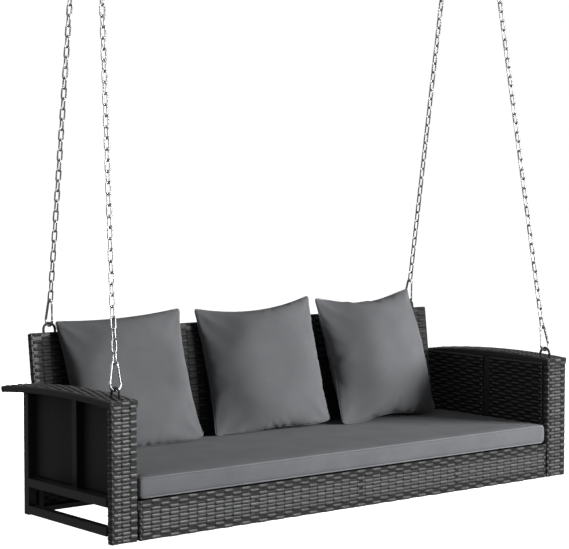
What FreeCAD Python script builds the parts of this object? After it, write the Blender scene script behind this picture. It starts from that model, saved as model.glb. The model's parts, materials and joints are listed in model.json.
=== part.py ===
"""Hanging wicker porch swing: steel frame, woven panels, cushions, four chains and two ceiling hangers.

Row frame, millimetres: +X to the sitter's left along the swing (a viewer's right), +Y to the back, +Z up.
The origin is the middle between the two ceiling plates, on the ceiling. Sizes below are read from the left
outer, front, bottom corner of the seat (the "seat corner"), and place() shifts them to the row frame.
Cutting tools run 1 mm past the faces that they open.
"""
import math
import os
import re

import FreeCAD
import Part
import Sketcher
from FreeCAD import Placement, Rotation, Vector

os.makedirs("parts", exist_ok=True)
doc = FreeCAD.newDocument("PorchSwing")
sheet = doc.addObject("Spreadsheet::Sheet", "Dims")

SIZES = {
    # whole swing
    "swing_width": 1850, "pivot_depth": 328.14, "hang_inset": 161, "hang_height": 2414,
    # arms
    "arm_width": 92, "column_depth": 25, "column_height": 402.5, "sleeve_wall": 2.5, "post_size": 20,
    "post_gap": 1.5, "arm_length": 603, "arm_thickness": 22, "arm_crest": 411, "crest_depth": 240,
    "arch_radius": 3500, "arch_rail": 16.4, "rear_post_depth": 445, "bottom_rail_height": 22,
    "lower_rail_height": 104, "upright_depth": 278, "back_upright_depth": 550, "panel_inset": 88,
    "panel_thickness": 3.5, "panel_gap": 0.5,
    # tubes and their end caps
    "tube_size": 25, "tube_wall": 1.5, "beam_wall": 2, "weld_gap": 0.3, "cap_thickness": 3, "foot_cap": 2,
    # seat
    "seat_rail_height": 89, "seat_depth": 560, "bar_size": 20, "bar_count": 4, "deck_thickness": 3.5,
    "deck_gap": 3, "lath_size": 15, "front_lath_size": 25, "apron_wall": 3, "apron_gap": 5, "apron_hem": 1,
    "wing_gap": 2,
    # back
    "back_inset": 100, "back_foot_depth": 541, "back_foot_height": 117, "back_height": 431,
    "back_thickness": 25, "back_recline": 7, "back_wall": 2, "back_tube_wall": 1.2,
    # soft parts
    "cushion_height": 61.5, "cushion_base": 118.5, "cushion_side_gap": 2, "cushion_depth": 540,
    "cushion_round": 12, "pillow_width": 448, "pillow_height": 424, "pillow_thickness": 90,
    "pillow_face": 0.42,
    # hanging rings
    "ring_wire": 8, "ring_radius": 20.5, "ring_reach": 28, "front_ring_inset": 51, "front_ring_depth": 52.5,
    "rear_ring_inset": 174, "ring_thread": 12, "ring_plate": 4, "ring_plate_height": 378,
    "ring_plate_depth": 65,
    # carabiners, links, ceiling
    "hook_wire": 8, "hook_wide": 18, "hook_narrow": 10, "hook_centres": 54, "gate_wire": 6, "gate_knuckle": 3.4,
    "rivet_wire": 2.4,
    "rivet_offset": 4.5, "rivet_length": 7.6, "touch_gap": 0.3, "link_wire": 5, "link_half_width": 7.5,
    "link_pitch": 31.5, "top_link_angle": 26, "eye_radius": 10, "eye_drop": 32, "plate_length": 96,
    "plate_width": 40, "plate_thickness": 5, "plate_hole": 8.5, "plate_hole_spacing": 68, "plate_corner": 6,
    # bolts, nuts and their holes
    "bolt_size": 8, "bolt_head": 5.5, "bolt_end": 3, "nut_height": 6.5, "nut_corner": 7.5,
    "first_bolt_depth": 60, "bolt_spacing": 225, "back_bolt_end": 200, "back_bolt_middle": 700,
    "back_bolt_depth": 553, "hole_clearance": 0.6, "skin_clearance": 2, "slant_clearance": 3,
    "thread_gap": 0.1,
}
for row, (name, value) in enumerate(SIZES.items(), start=1):
    sheet.set(f"A{row}", str(value))
    sheet.setAlias(f"A{row}", name)
doc.recompute()

SIDES = ("left", "right")
nodes = {}


def size(name):
    return float(sheet.get(name))


def expr(text):
    """An expression with every driving dimension's name turned into its spreadsheet reference."""
    return re.sub(r"[a-z_]+", lambda m: "Dims." + m[0] if m[0] in SIZES else m[0], text)


def bind(obj, **sizes):
    for prop, text in sizes.items():
        obj.setExpression(prop, expr(text))
    return obj


def place(obj, x, y, z):
    """Puts an object's base at a point given from the seat corner."""
    obj.setExpression("Placement.Base.x", expr(f"{x} - swing_width / 2"))
    obj.setExpression("Placement.Base.y", expr(f"{y} - pivot_depth"))
    obj.setExpression("Placement.Base.z", expr(f"{z} - ({CEILING})"))
    return obj


HOOK_TO_EYE = "hook_narrow - hook_wire / 2 - ring_wire / 2 - touch_gap"
PIVOT = f"hang_height + hook_centres + {HOOK_TO_EYE}"
CEILING = f"{PIVOT} + eye_drop + plate_thickness"


def number(text):
    """The value of an expression over the driving dimensions."""
    probe = doc.addObject("App::FeaturePython", "Probe")
    probe.addProperty("App::PropertyFloat", "Value")
    probe.setExpression("Value", expr(text))
    probe.recompute()
    value = probe.Value
    doc.removeObject(probe.Name)
    return value


def point(x, y, z):
    """A point given from the seat corner, in the row frame."""
    return Vector(x - size("swing_width") / 2, y - size("pivot_depth"), z - number(CEILING))


def node(label, obj):
    """Makes an object the sub-part of that name."""
    obj.Label = label
    nodes[label] = obj
    return obj


def across(side, x, dx):
    """The x of a piece dx wide, x in from the side's outer face."""
    return f"({x})" if side == "left" else f"(swing_width - ({x}) - ({dx}))"


def block(x, y, z, dx, dy, dz):
    box = doc.addObject("Part::Box", "Block")
    bind(box, Length=dx, Width=dy, Height=dz)
    return place(box, x, y, z)


def cut(base, *tools):
    for tool in tools:
        result = doc.addObject("Part::Cut", "Cut")
        result.Base = base
        result.Tool = tool
        base = result
    return base


def common(base, tool):
    result = doc.addObject("Part::Common", "Common")
    result.Base = base
    result.Tool = tool
    return result


def fuse(*pieces):
    result = doc.addObject("Part::MultiFuse", "Fuse")
    result.Shapes = list(pieces)
    return result


def group(*pieces):
    result = doc.addObject("Part::Compound", "Group")
    result.Links = list(pieces)
    return result


def tube(x, y, z, dx, dy, dz, along, wall="tube_wall"):
    """A square tube with open ends, running along X, Y or Z."""
    outer = block(x, y, z, dx, dy, dz)
    starts = {"X": x, "Y": y, "Z": z}
    spans = {"X": dx, "Y": dy, "Z": dz}
    for axis in "XYZ":
        if axis == along:
            starts[axis] = f"{starts[axis]} - 1"
            spans[axis] = f"{spans[axis]} + 2"
        else:
            starts[axis] = f"{starts[axis]} + {wall}"
            spans[axis] = f"{spans[axis]} - 2 * {wall}"
    inner = block(starts["X"], starts["Y"], starts["Z"], spans["X"], spans["Y"], spans["Z"])
    return cut(outer, inner)


def rod(x, y, z, diameter, length, axis="Z"):
    """A round bar from a point, along +X, +Y or +Z."""
    bar = doc.addObject("Part::Cylinder", "Rod")
    bind(bar, Radius=f"({diameter}) / 2", Height=length)
    turns = {"X": Rotation(Vector(0, 1, 0), 90), "Y": Rotation(Vector(1, 0, 0), -90), "Z": Rotation()}
    bar.Placement = Placement(Vector(), turns[axis])
    return place(bar, x, y, z)


def hexagon(x, y, z, length, axis="Z"):
    """A hexagonal nut or bolt head, from a point along +X or +Z."""
    head = doc.addObject("Part::Prism", "Hexagon")
    head.Polygon = 6
    bind(head, Circumradius="nut_corner", Height=length)
    head.Placement = Placement(Vector(), Rotation(Vector(0, 1, 0), 90) if axis == "X" else Rotation())
    return place(head, x, y, z)


# ---------------------------------------------------------------- arched armrests

def arch_disc(x, dx, inset):
    """A slice of the big cylinder whose top line is the armrest's arch, lowered by inset."""
    disc = doc.addObject("Part::Cylinder", "Disc")
    bind(disc, Radius=f"arch_radius - ({inset})", Height=dx)
    disc.Placement = Placement(Vector(), Rotation(Vector(0, 1, 0), 90))
    return place(disc, x, "crest_depth", "arm_crest - arch_radius")


def arch_bar(x, dx, top, bottom, start, end):
    """A bar that follows the arch, between two insets below its top and two depths."""
    band = cut(arch_disc(x, dx, top), arch_disc(f"{x} - 1", f"{dx} + 2", bottom))
    window = block(f"{x} - 2", start, "arm_crest - 4 * arm_thickness", f"{dx} + 4", f"{end} - ({start})",
                   "5 * arm_thickness")
    return common(band, window)


def under_arm(y):
    """The height of the armrest's underside at a depth, less a weld's gap."""
    return f"(arm_crest - arm_thickness - weld_gap - ({y} - crest_depth)^2 / (2 * arch_radius))"


def ring_legs(side, diameter, base, length):
    x = across(side, "front_ring_inset", "0")
    return [rod(x, f"front_ring_depth + {k} * ring_radius", base, diameter, length) for k in (-1, 1)]


def armrest(side):
    sleeve = cut(
        arch_bar(across(side, "0", "arm_width"), "arm_width", "0", "arm_thickness", "column_depth",
                 "arm_length"),
        arch_bar(across(side, "sleeve_wall", "arm_width - 2 * sleeve_wall"), "arm_width - 2 * sleeve_wall",
                 "sleeve_wall", "arm_thickness - sleeve_wall", "column_depth - 1", "arm_length + 1"),
        *ring_legs(side, "ring_wire + skin_clearance", "ring_plate_height", "4 * arm_thickness"),
    )
    node(f"{side}_armrest_wicker", sleeve)
    rails = []
    top = "sleeve_wall + weld_gap"
    bottom = "sleeve_wall + weld_gap + arch_rail"
    for inset in ARM_RAIL_INSETS:
        solid = arch_bar(across(side, inset, "arch_rail"), "arch_rail", top, bottom,
                         "column_depth", "arm_length - cap_thickness")
        bore = arch_bar(across(side, f"{inset} + tube_wall", "arch_rail - 2 * tube_wall"),
                        "arch_rail - 2 * tube_wall", f"{top} + tube_wall", f"{bottom} - tube_wall",
                        "column_depth - 1", "arm_length")
        rails.append(cut(solid, bore))
    node(f"{side}_armrest_rails", group(*rails))


# ---------------------------------------------------------------- arm frames

POST_INSETS = ("sleeve_wall + post_gap", "arm_width - sleeve_wall - post_gap - post_size")
ARM_RAIL_INSETS = ("sleeve_wall + weld_gap", "arm_width - sleeve_wall - weld_gap - arch_rail")
BOLT_DEPTHS = [f"first_bolt_depth + {k} * bolt_spacing" for k in range(3)]
BOLT_HEIGHT = "seat_rail_height + tube_size / 2"
INNER_RAIL = "arm_width - tube_size"


def bolt_holes(x, dx):
    return [rod(x, y, BOLT_HEIGHT, "bolt_size + hole_clearance", dx, "X") for y in BOLT_DEPTHS]


def arm_frame(side):
    def x(inset, dx):
        return across(side, inset, dx)

    posts = []
    for inset in POST_INSETS:
        posts.append(tube(x(inset, "post_size"), "sleeve_wall", "foot_cap", "post_size", "post_size",
                          "column_height - sleeve_wall - 2 * foot_cap", "Z", "beam_wall"))
    posts.append(tube(x("0", "tube_size"), "rear_post_depth", "bottom_rail_height", "tube_size", "tube_size",
                      f"{under_arm('(rear_post_depth + tube_size)')} - bottom_rail_height", "Z"))
    rail_top = "seat_rail_height + tube_size"
    for depth in ("upright_depth", "back_upright_depth"):
        far = under_arm(f"({depth} + tube_size)")
        posts.append(tube(x("panel_inset - tube_size", "tube_size"), depth, rail_top, "tube_size",
                          "tube_size", f"{far} - ({rail_top})", "Z"))
    node(f"{side}_arm_posts", group(*posts))

    run = "rear_post_depth - column_depth"
    rails = [
        tube(x("0", "tube_size"), "column_depth", height, "tube_size", run, "tube_size", "Y")
        for height in ("bottom_rail_height", "lower_rail_height")
    ]
    inner = tube(x(INNER_RAIL, "tube_size"), "column_depth", "seat_rail_height", "tube_size",
                 "back_upright_depth + tube_size - column_depth", "tube_size", "Y")
    rails.append(cut(inner, *bolt_holes(x(f"{INNER_RAIL} - 1", "tube_size + 2"), "tube_size + 2")))
    rails.append(tube(x("tube_size", "arm_width - 2 * tube_size"), "rear_post_depth", "seat_rail_height",
                      "arm_width - 2 * tube_size", "tube_size", "tube_size", "X"))
    plate_span = "arm_width - 2 * (sleeve_wall + post_size)"
    plate = block(x("sleeve_wall + post_size", plate_span), "column_depth + 2", "ring_plate_height",
                  plate_span, "ring_plate_depth", "ring_plate")
    rails.append(cut(plate, *ring_legs(side, "ring_wire + hole_clearance", "ring_plate_height - 1",
                                       "ring_plate + 2")))
    node(f"{side}_arm_rails", group(*rails))


def arm_wicker(side):
    sleeve = block(across(side, "0", "arm_width"), "0", "0", "arm_width", "column_depth", "column_height")
    cavity = block(across(side, "sleeve_wall", "arm_width - 2 * sleeve_wall"), "sleeve_wall", "-1",
                   "arm_width - 2 * sleeve_wall", "column_depth - 2 * sleeve_wall",
                   "column_height - sleeve_wall + 1")
    node(f"{side}_column_wicker", cut(sleeve, cavity))
    rail_top = "seat_rail_height + tube_size + panel_gap"
    panel = block(across(side, "panel_inset", "panel_thickness"), "column_depth", rail_top,
                  "panel_thickness", "arm_length - cap_thickness - column_depth",
                  f"arm_crest - ({rail_top})")
    roof = arch_disc(across(side, "panel_inset - 1", "panel_thickness + 2"), "panel_thickness + 2",
                     "arm_thickness + weld_gap")
    node(f"{side}_arm_panel", common(panel, roof))


# ---------------------------------------------------------------- seat

SEAT_LENGTH = "swing_width - 2 * arm_width"


def seat():
    height = "seat_rail_height"
    top = "seat_rail_height + tube_size"
    rear = "seat_depth - tube_size"
    node("seat_front_rail",
         tube("arm_width", "apron_wall", height, SEAT_LENGTH, "tube_size", "tube_size", "X", "beam_wall"))
    back_holes = [rod(x, "back_bolt_depth", f"{height} - 1", "bolt_size + hole_clearance", "tube_size + 2")
                  for x in BACK_BOLT_PLACES]
    node("seat_rear_rail",
         cut(tube("arm_width", rear, height, SEAT_LENGTH, "tube_size", "tube_size", "X"), *back_holes))
    run_start = "apron_wall + tube_size"
    run = f"{rear} - ({run_start})"
    ends = []
    for side in SIDES:
        x = across(side, "arm_width", "tube_size")
        rail = tube(x, run_start, height, "tube_size", run, "tube_size", "Y")
        ends.append(cut(rail, *bolt_holes(across(side, "arm_width - 1", "tube_size + 2"), "tube_size + 2")))
    node("seat_end_rails", group(*ends))
    bars = []
    for k in range(1, int(size("bar_count")) + 1):
        x = f"arm_width + ({SEAT_LENGTH}) * {k} / (bar_count + 1) - bar_size / 2"
        bars.append(tube(x, run_start, f"{top} - bar_size", "bar_size", run, "bar_size", "Y"))
    node("seat_cross_bars", group(*bars))
    node("seat_deck_wicker",
         block("arm_width", "apron_wall", top, SEAT_LENGTH, "back_foot_depth - deck_gap - apron_wall",
               "deck_thickness"))


def aprons():
    """Woven front and rear skirts on a light frame under the seat rails.

    The rear one reaches a little way behind the arms.
    """
    length = f"{SEAT_LENGTH} - 2 * apron_gap"
    laths = []
    feet = {
        "apron_wall": ("front_lath_size", "beam_wall"),
        "seat_depth - lath_size": ("lath_size", "tube_wall"),
    }
    for depth, (foot, wall) in feet.items():
        laths.append(tube("arm_width + apron_gap", depth, "apron_hem", length, foot, foot, "X", wall))
        for share in (0, 0.25, 0.5, 0.75, 1):
            x = f"arm_width + apron_gap + ({length} - lath_size) * {share}"
            laths.append(tube(x, depth, f"apron_hem + {foot}", "lath_size", "lath_size",
                              f"seat_rail_height - apron_hem - {foot}", "Z"))
    node("apron_frame", group(*laths))
    tall = "seat_rail_height + tube_size"
    node("front_apron_wicker", block("arm_width + apron_gap", "0", "0", length, "apron_wall", tall))
    skirt = block("arm_width + apron_gap", "seat_depth", "0", length, "apron_wall", tall)
    wings = block("arm_width - tube_size", "seat_depth", "0",
                  "swing_width - 2 * (arm_width - tube_size)", "apron_wall", "seat_rail_height - wing_gap")
    node("rear_apron_wicker", fuse(skirt, wings))


# ---------------------------------------------------------------- reclined back

BACK_BOLT_PLACES = [across(side, x, "0") for side in SIDES for x in ("back_bolt_end", "back_bolt_middle")]
BACK_WIDTH = "swing_width - 2 * back_inset"


def lean(obj, x, v, h):
    """Places an object in the back's own frame: v behind its front face, h up along it."""
    tilt = Rotation(Vector(-1, 0, 0), size("back_recline"))
    obj.Placement = Placement(Vector(), tilt * obj.Placement.Rotation)
    y = f"back_foot_depth + ({v}) * cos(back_recline * 1 deg) + ({h}) * sin(back_recline * 1 deg)"
    z = f"back_foot_height - ({v}) * sin(back_recline * 1 deg) + ({h}) * cos(back_recline * 1 deg)"
    return place(obj, x, y, z)


def back_block(x, v, h, dx, dv, dh):
    box = doc.addObject("Part::Box", "Block")
    bind(box, Length=dx, Width=dv, Height=dh)
    return lean(box, x, v, h)


def back_rod(x, v, h, diameter, length):
    bar = doc.addObject("Part::Cylinder", "Rod")
    bind(bar, Radius=f"({diameter}) / 2", Height=length)
    return lean(bar, x, v, h)


def back_tube(x, h, dx, dh, along):
    wall = "back_tube_wall"
    v = "back_wall"
    outer = back_block(x, v, h, dx, "bar_size", dh)
    if along == "X":
        inner = back_block(f"{x} - 1", f"{v} + {wall}", f"{h} + {wall}", f"{dx} + 2",
                           f"bar_size - 2 * {wall}", f"{dh} - 2 * {wall}")
    else:
        inner = back_block(f"{x} + {wall}", f"{v} + {wall}", f"{h} - 1", f"{dx} - 2 * {wall}",
                           f"bar_size - 2 * {wall}", f"{dh} + 2")
    return cut(outer, inner)


def rear_leg_places():
    return [across(side, f"rear_ring_inset + {k} * ring_radius", "0") for side in SIDES for k in (-1, 1)]


def back():
    inner_x = "back_inset + back_wall"
    inner_width = f"{BACK_WIDTH} - 2 * back_wall"
    rail_top = "back_height - back_wall - bar_size"
    top = back_tube(inner_x, rail_top, inner_width, "bar_size", "X")
    legs = [back_rod(x, "back_thickness / 2", f"{rail_top} - 1", "ring_wire + hole_clearance", "bar_size + 2")
            for x in rear_leg_places()]
    node("back_top_rail", cut(top, *legs))
    foot = back_tube(inner_x, "0", inner_width, "bar_size", "X")
    bolts = [rod(x, "back_bolt_depth", "seat_rail_height", "bolt_size + slant_clearance", "4 * bar_size")
             for x in BACK_BOLT_PLACES]
    node("back_bottom_rail", cut(foot, *bolts))
    places = {"left": 0, "middle_left": 1 / 3, "middle_right": 2 / 3, "right": 1}
    for name, share in places.items():
        x = f"{inner_x} + ({inner_width} - bar_size) * {share:.4f}"
        node(f"back_{name}_stile", back_tube(x, "bar_size", "bar_size", f"{rail_top} - bar_size", "Z"))
    skin = back_block("back_inset", "0", "0", BACK_WIDTH, "back_thickness", "back_height")
    cavity = back_block(inner_x, "back_wall", "-1", inner_width, "back_thickness - 2 * back_wall",
                        "back_height - back_wall + 1")
    holes = [back_rod(x, "back_thickness / 2", "back_height - bar_size / 2", "ring_wire + skin_clearance",
                      "bar_size")
             for x in rear_leg_places()]
    node("back_wicker", cut(skin, cavity, *holes))


# ---------------------------------------------------------------- fasteners and end caps

def fasteners():
    bolts = []
    nuts = []
    shank = "2 * tube_size + bolt_head + nut_height + bolt_end"
    for side in SIDES:
        for y in BOLT_DEPTHS:
            head_x = across(side, f"{INNER_RAIL} - bolt_head", "bolt_head")
            nut_x = across(side, "arm_width + tube_size", "nut_height")
            shank_x = across(side, f"{INNER_RAIL} - bolt_head", shank)
            bolts.append(fuse(hexagon(head_x, y, BOLT_HEIGHT, "bolt_head", "X"),
                              rod(shank_x, y, BOLT_HEIGHT, "bolt_size", shank, "X")))
            nuts.append(cut(hexagon(nut_x, y, BOLT_HEIGHT, "nut_height", "X"),
                            rod(shank_x, y, BOLT_HEIGHT, "bolt_size + thread_gap", shank, "X")))
    under = "seat_rail_height - bolt_head"
    seat_of_nut = "back_foot_height + bar_size"
    shank = f"{seat_of_nut} + nut_height + bolt_end - ({under})"
    for x in BACK_BOLT_PLACES:
        y = "back_bolt_depth"
        bolts.append(fuse(hexagon(x, y, under, "bolt_head"), rod(x, y, under, "bolt_size", shank)))
        nuts.append(cut(hexagon(x, y, seat_of_nut, "nut_height"),
                        rod(x, y, under, "bolt_size + thread_gap", shank)))
    node("frame_bolts", group(*bolts))
    node("frame_nuts", group(*nuts))

    nuts = []
    for side in SIDES:
        x = across(side, "front_ring_inset", "0")
        for k in (-1, 1):
            y = f"front_ring_depth + {k} * ring_radius"
            nuts.append(cut(hexagon(x, y, "ring_plate_height - nut_height", "nut_height"),
                            rod(x, y, "ring_plate_height - 2 * nut_height", "ring_wire + thread_gap",
                                "3 * nut_height")))
    for x in rear_leg_places():
        nut = doc.addObject("Part::Prism", "Hexagon")
        nut.Polygon = 6
        bind(nut, Circumradius="nut_corner", Height="nut_height")
        base = "back_height - back_wall - bar_size - nut_height"
        lean(nut, x, "back_thickness / 2", base)
        nuts.append(cut(nut, back_rod(x, "back_thickness / 2", f"{base} - 1", "ring_wire + thread_gap",
                                      "nut_height + 2")))
    node("ring_nuts", group(*nuts))

    caps = []
    for side in SIDES:
        caps.append(block(across(side, "0", "tube_size"), "rear_post_depth",
                          "bottom_rail_height - cap_thickness", "tube_size", "tube_size", "cap_thickness"))
        for inset in POST_INSETS:
            caps.append(block(across(side, inset, "post_size"), "sleeve_wall", "0", "post_size", "post_size",
                              "foot_cap"))
        for inset in ARM_RAIL_INSETS:
            caps.append(arch_bar(across(side, inset, "arch_rail"), "arch_rail", "sleeve_wall + weld_gap",
                                 "sleeve_wall + weld_gap + arch_rail", "arm_length - cap_thickness",
                                 "arm_length"))
    node("tube_end_caps", group(*caps))


# ---------------------------------------------------------------- soft parts

def plane(body, role):
    return next(f for f in body.Origin.OriginFeatures if f.Role == role)


def sketch_on(body, role, name, offset=0.0):
    drawn = body.newObject("Sketcher::SketchObject", name)
    drawn.AttachmentSupport = [(plane(body, role), "")]
    drawn.MapMode = "FlatFace"
    drawn.AttachmentOffset = Placement(Vector(0, 0, offset), Rotation())
    return drawn


def centred_rectangle(drawn, width, height):
    """A rectangle about the sketch's origin, its two sizes bound to expressions."""
    w = number(width) / 2
    h = number(height) / 2
    corners = [Vector(-w, -h, 0), Vector(w, -h, 0), Vector(w, h, 0), Vector(-w, h, 0)]
    for k in range(4):
        drawn.addGeometry(Part.LineSegment(corners[k], corners[(k + 1) % 4]))
    for k in range(4):
        drawn.addConstraint(Sketcher.Constraint("Coincident", k, 2, (k + 1) % 4, 1))
    for k, rule in enumerate(("Horizontal", "Vertical", "Horizontal", "Vertical")):
        drawn.addConstraint(Sketcher.Constraint(rule, k))
    drawn.addConstraint(Sketcher.Constraint("Symmetric", 0, 1, 2, 1, -1, 1))
    for edge, text in ((0, width), (1, height)):
        index = drawn.addConstraint(Sketcher.Constraint("Distance", edge, number(text)))
        drawn.setExpression(f"Constraints[{index}]", expr(text))


def cushion():
    body = doc.addObject("PartDesign::Body", "Cushion")
    outline = sketch_on(body, "XY_Plane", "CushionOutline")
    centred_rectangle(outline, f"{SEAT_LENGTH} - 2 * cushion_side_gap", "cushion_depth")
    pad = body.newObject("PartDesign::Pad", "CushionPad")
    pad.Profile = outline
    bind(pad, Length="cushion_height")
    doc.recompute()
    rounded = body.newObject("PartDesign::Fillet", "CushionRound")
    rounded.Base = (pad, [f"Edge{k + 1}" for k in range(len(pad.Shape.Edges))])
    bind(rounded, Radius="cushion_round")
    place(body, "swing_width / 2", "cushion_depth / 2", "cushion_base")
    node("seat_cushion", body)


# name: middle of the pillow from the seat corner, turn about Z, lean back, turn in its own plane
PILLOWS = {
    "left_pillow": ((412, 497, 392), -3.5, 15.5, 1.2),
    "middle_pillow": ((937, 500, 397), -5.0, 13.5, 1.4),
    "right_pillow": ((1420, 484, 399), 2.3, 16.5, 1.0),
}


def pillow(name, middle, turn, lean_back, roll):
    body = doc.addObject("PartDesign::Body", name)
    sections = []
    for k, share in ((-1, "pillow_face"), (0, "1"), (1, "pillow_face")):
        drawn = sketch_on(body, "XZ_Plane", f"{name}_section", k * size("pillow_thickness") / 2)
        centred_rectangle(drawn, f"pillow_width * {share}", f"pillow_height * {share}")
        sections.append(drawn)
    loft = body.newObject("PartDesign::AdditiveLoft", f"{name}_loft")
    loft.Profile = sections[0]
    loft.Sections = sections[1:]
    loft.Ruled = True
    attitude = (Rotation(Vector(0, 0, 1), turn) * Rotation(Vector(1, 0, 0), -lean_back)
                * Rotation(Vector(0, 1, 0), -roll))
    body.Placement = Placement(point(*middle), attitude)
    node(name, body)


# ---------------------------------------------------------------- bent wire: rings, eyes, links, carabiners

def bend(radius, wire, start, sweep, x, z):
    """A round wire bent about (x, z) in the XZ plane, from an angle above +X through a sweep, in degrees."""
    torus = doc.addObject("Part::Torus", "Bend")
    bind(torus, Radius1=radius, Radius2=f"{wire} / 2")
    torus.Angle3 = sweep
    attitude = Rotation(Vector(1, 0, 0), 90) * Rotation(Vector(0, 0, 1), start)
    torus.Placement = Placement(Vector(x, 0, z), attitude)
    return torus


def straight(wire, x, z, angle, length):
    """A round wire from (x, z) in the XZ plane, at an angle above +X in degrees."""
    bar = doc.addObject("Part::Cylinder", "Straight")
    bind(bar, Radius=f"{wire} / 2")
    bar.Height = length
    bar.Placement = Placement(Vector(x, 0, z), Rotation(Vector(0, 1, 0), 90 - angle))
    return bar


def u_bolt(label, middle, attitude):
    """A ring whose two threaded legs go down: origin at the bend's middle, bend upward in the XZ plane."""
    radius = size("ring_radius")
    drop = size("ring_reach") - radius
    hold = size("arm_thickness") + size("nut_height") + size("ring_thread")
    legs = [straight("ring_wire", k * radius, 0, -90, drop + hold) for k in (-1, 1)]
    ring = fuse(bend("ring_radius", "ring_wire", 0, 180, 0, 0), *legs)
    ring.Placement = Placement(middle, attitude)
    node(label, ring)


def arm_top(y):
    radius = size("arch_radius")
    return size("arm_crest") - radius + math.sqrt(radius ** 2 - (y - size("crest_depth")) ** 2)


def mirror_x(side, x):
    return x if side == "left" else size("swing_width") - x


def front_ring_middle(side):
    y = size("front_ring_depth")
    drop = size("ring_reach") - size("ring_radius")
    return point(mirror_x(side, size("front_ring_inset")), y, arm_top(y) + drop)


def rear_ring_middle(side):
    angle = math.radians(size("back_recline"))
    v = size("back_thickness") / 2
    h = size("back_height") + size("ring_reach") - size("ring_radius")
    y = size("back_foot_depth") + v * math.cos(angle) + h * math.sin(angle)
    z = size("back_foot_height") - v * math.sin(angle) + h * math.cos(angle)
    return point(mirror_x(side, size("rear_ring_inset")), y, z)


def ring_top(middle, attitude):
    return middle + attitude.multVec(Vector(0, 0, size("ring_radius")))


NOSE_TURN = 4.0  # degrees by which the wide bend stops short of the gate
TONGUE = Vector(5, 2.6, 8.5)  # across the gate, through it and along it
FORK = Vector(12, 3.2, 11.5)  # the slot in the gate that clears the tongue
FORK_REACH = 5.5  # how far the slot runs down past the rivet
GATE_TIP_GAP = 0.6
QUARTER = Rotation(Vector(0, 0, 1), 90)
BACK_LEAN = Rotation(Vector(-1, 0, 0), size("back_recline"))


def hook_angle():
    """How far each side of the pear-shaped carabiner leans from its long axis, in degrees."""
    return math.degrees(math.asin((size("hook_wide") - size("hook_narrow")) / size("hook_centres")))


def hook_points():
    """The gate line's two ends in the carabiner's own frame, and the direction from top to nose."""
    angle = math.radians(hook_angle())
    high = Vector(-size("hook_narrow") * math.cos(angle), 0,
                  size("hook_centres") + size("hook_narrow") * math.sin(angle))
    low = Vector(-size("hook_wide") * math.cos(angle), 0, size("hook_wide") * math.sin(angle))
    return high, low, (low - high).normalize()


def rivet_bar(radius, length):
    """A pin on the gate's hinge line, in the carabiner's own frame."""
    high, _, down = hook_points()
    bar = doc.addObject("Part::Cylinder", "RivetBar")
    bind(bar, Radius=radius, Height=length)
    end = high + down * size("rivet_offset") + Vector(0, number(length) / 2, 0)
    bar.Placement = Placement(end, Rotation(Vector(1, 0, 0), 90))
    return bar


def slab(label, extent, corner, turn):
    """A box with one corner at a point of the carabiner's own frame."""
    box = doc.addObject("Part::Box", label)
    box.Length, box.Width, box.Height = extent.x, extent.y, extent.z
    box.Placement = Placement(corner, turn)
    return box


RIVET_HOLE = ("rivet_wire / 2 + thread_gap / 2", "2 * hook_wire")


def carabiner(label, frame):
    """Pear-shaped snap hook: origin at the wide bend's middle, +Z to the narrow bend, gate at -X."""
    angle = hook_angle()
    high, low, down = hook_points()
    spine = size("hook_centres") * math.cos(math.radians(angle))
    wide = bend("hook_wide", "hook_wire", 180 - angle + NOSE_TURN, 180 + 2 * angle - NOSE_TURN, 0, 0)
    back_wire = straight("hook_wire", -low.x, low.z, 90 + angle, spine)
    narrow = bend("hook_narrow", "hook_wire", angle, 180 - 2 * angle, 0, size("hook_centres"))
    turn = Rotation(Vector(0, 0, -1), down)
    corner = high + turn.multVec(Vector(-TONGUE.x / 2, -TONGUE.y / 2, -TONGUE.z))
    tongue = slab("Tongue", TONGUE, corner, turn)
    hook = cut(fuse(wide, back_wire, narrow, tongue), rivet_bar(*RIVET_HOLE))
    hook.Placement = frame
    node(label, hook)


def gate(label, frame):
    """The sprung gate: a thinner bar, forked over the carabiner's tongue and turning on the rivet."""
    high, low, down = hook_points()
    rivet = high + down * size("rivet_offset")
    turn = Rotation(Vector(0, 0, -1), down)
    length = (low - rivet).Length - GATE_TIP_GAP
    bar = doc.addObject("Part::Cylinder", "GateBar")
    bind(bar, Radius="gate_wire / 2")
    bar.Height = length
    bar.Placement = Placement(rivet + down * length, turn)
    knuckle = doc.addObject("Part::Sphere", "Knuckle")
    bind(knuckle, Radius="gate_knuckle")
    knuckle.Placement = Placement(rivet, Rotation())
    corner = rivet + turn.multVec(Vector(-FORK.x / 2, -FORK.y / 2, -FORK_REACH))
    leaf = cut(fuse(bar, knuckle), slab("Fork", FORK, corner, turn), rivet_bar(*RIVET_HOLE))
    leaf.Placement = frame
    node(label, leaf)


def rivet_pin(frame):
    pin = rivet_bar("rivet_wire / 2", "rivet_length")
    pin.Placement = frame * pin.Placement
    return pin


def frame_along(along, spine):
    """The attitude whose +Z runs along a chain and whose +X is as near as it can be to the spine's side."""
    z = Vector(along).normalize()
    x = (spine - z * spine.dot(z)).normalize()
    return Rotation(x, z.cross(x), z, "ZXY")


def top_hook_middle(side):
    return point(mirror_x(side, size("hang_inset")), size("pivot_depth"), size("hang_height"))


def chain_top(side, toward):
    """Where the last link's wire rests in the top carabiner's wide bend, to its front (-1) or rear (+1)."""
    angle = math.radians(size("top_link_angle"))
    reach = size("hook_wide") - size("hook_wire") / 2 - size("link_wire") / 2 - size("touch_gap")
    return top_hook_middle(side) + Vector(0, toward * math.sin(angle), -math.cos(angle)) * reach


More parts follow.
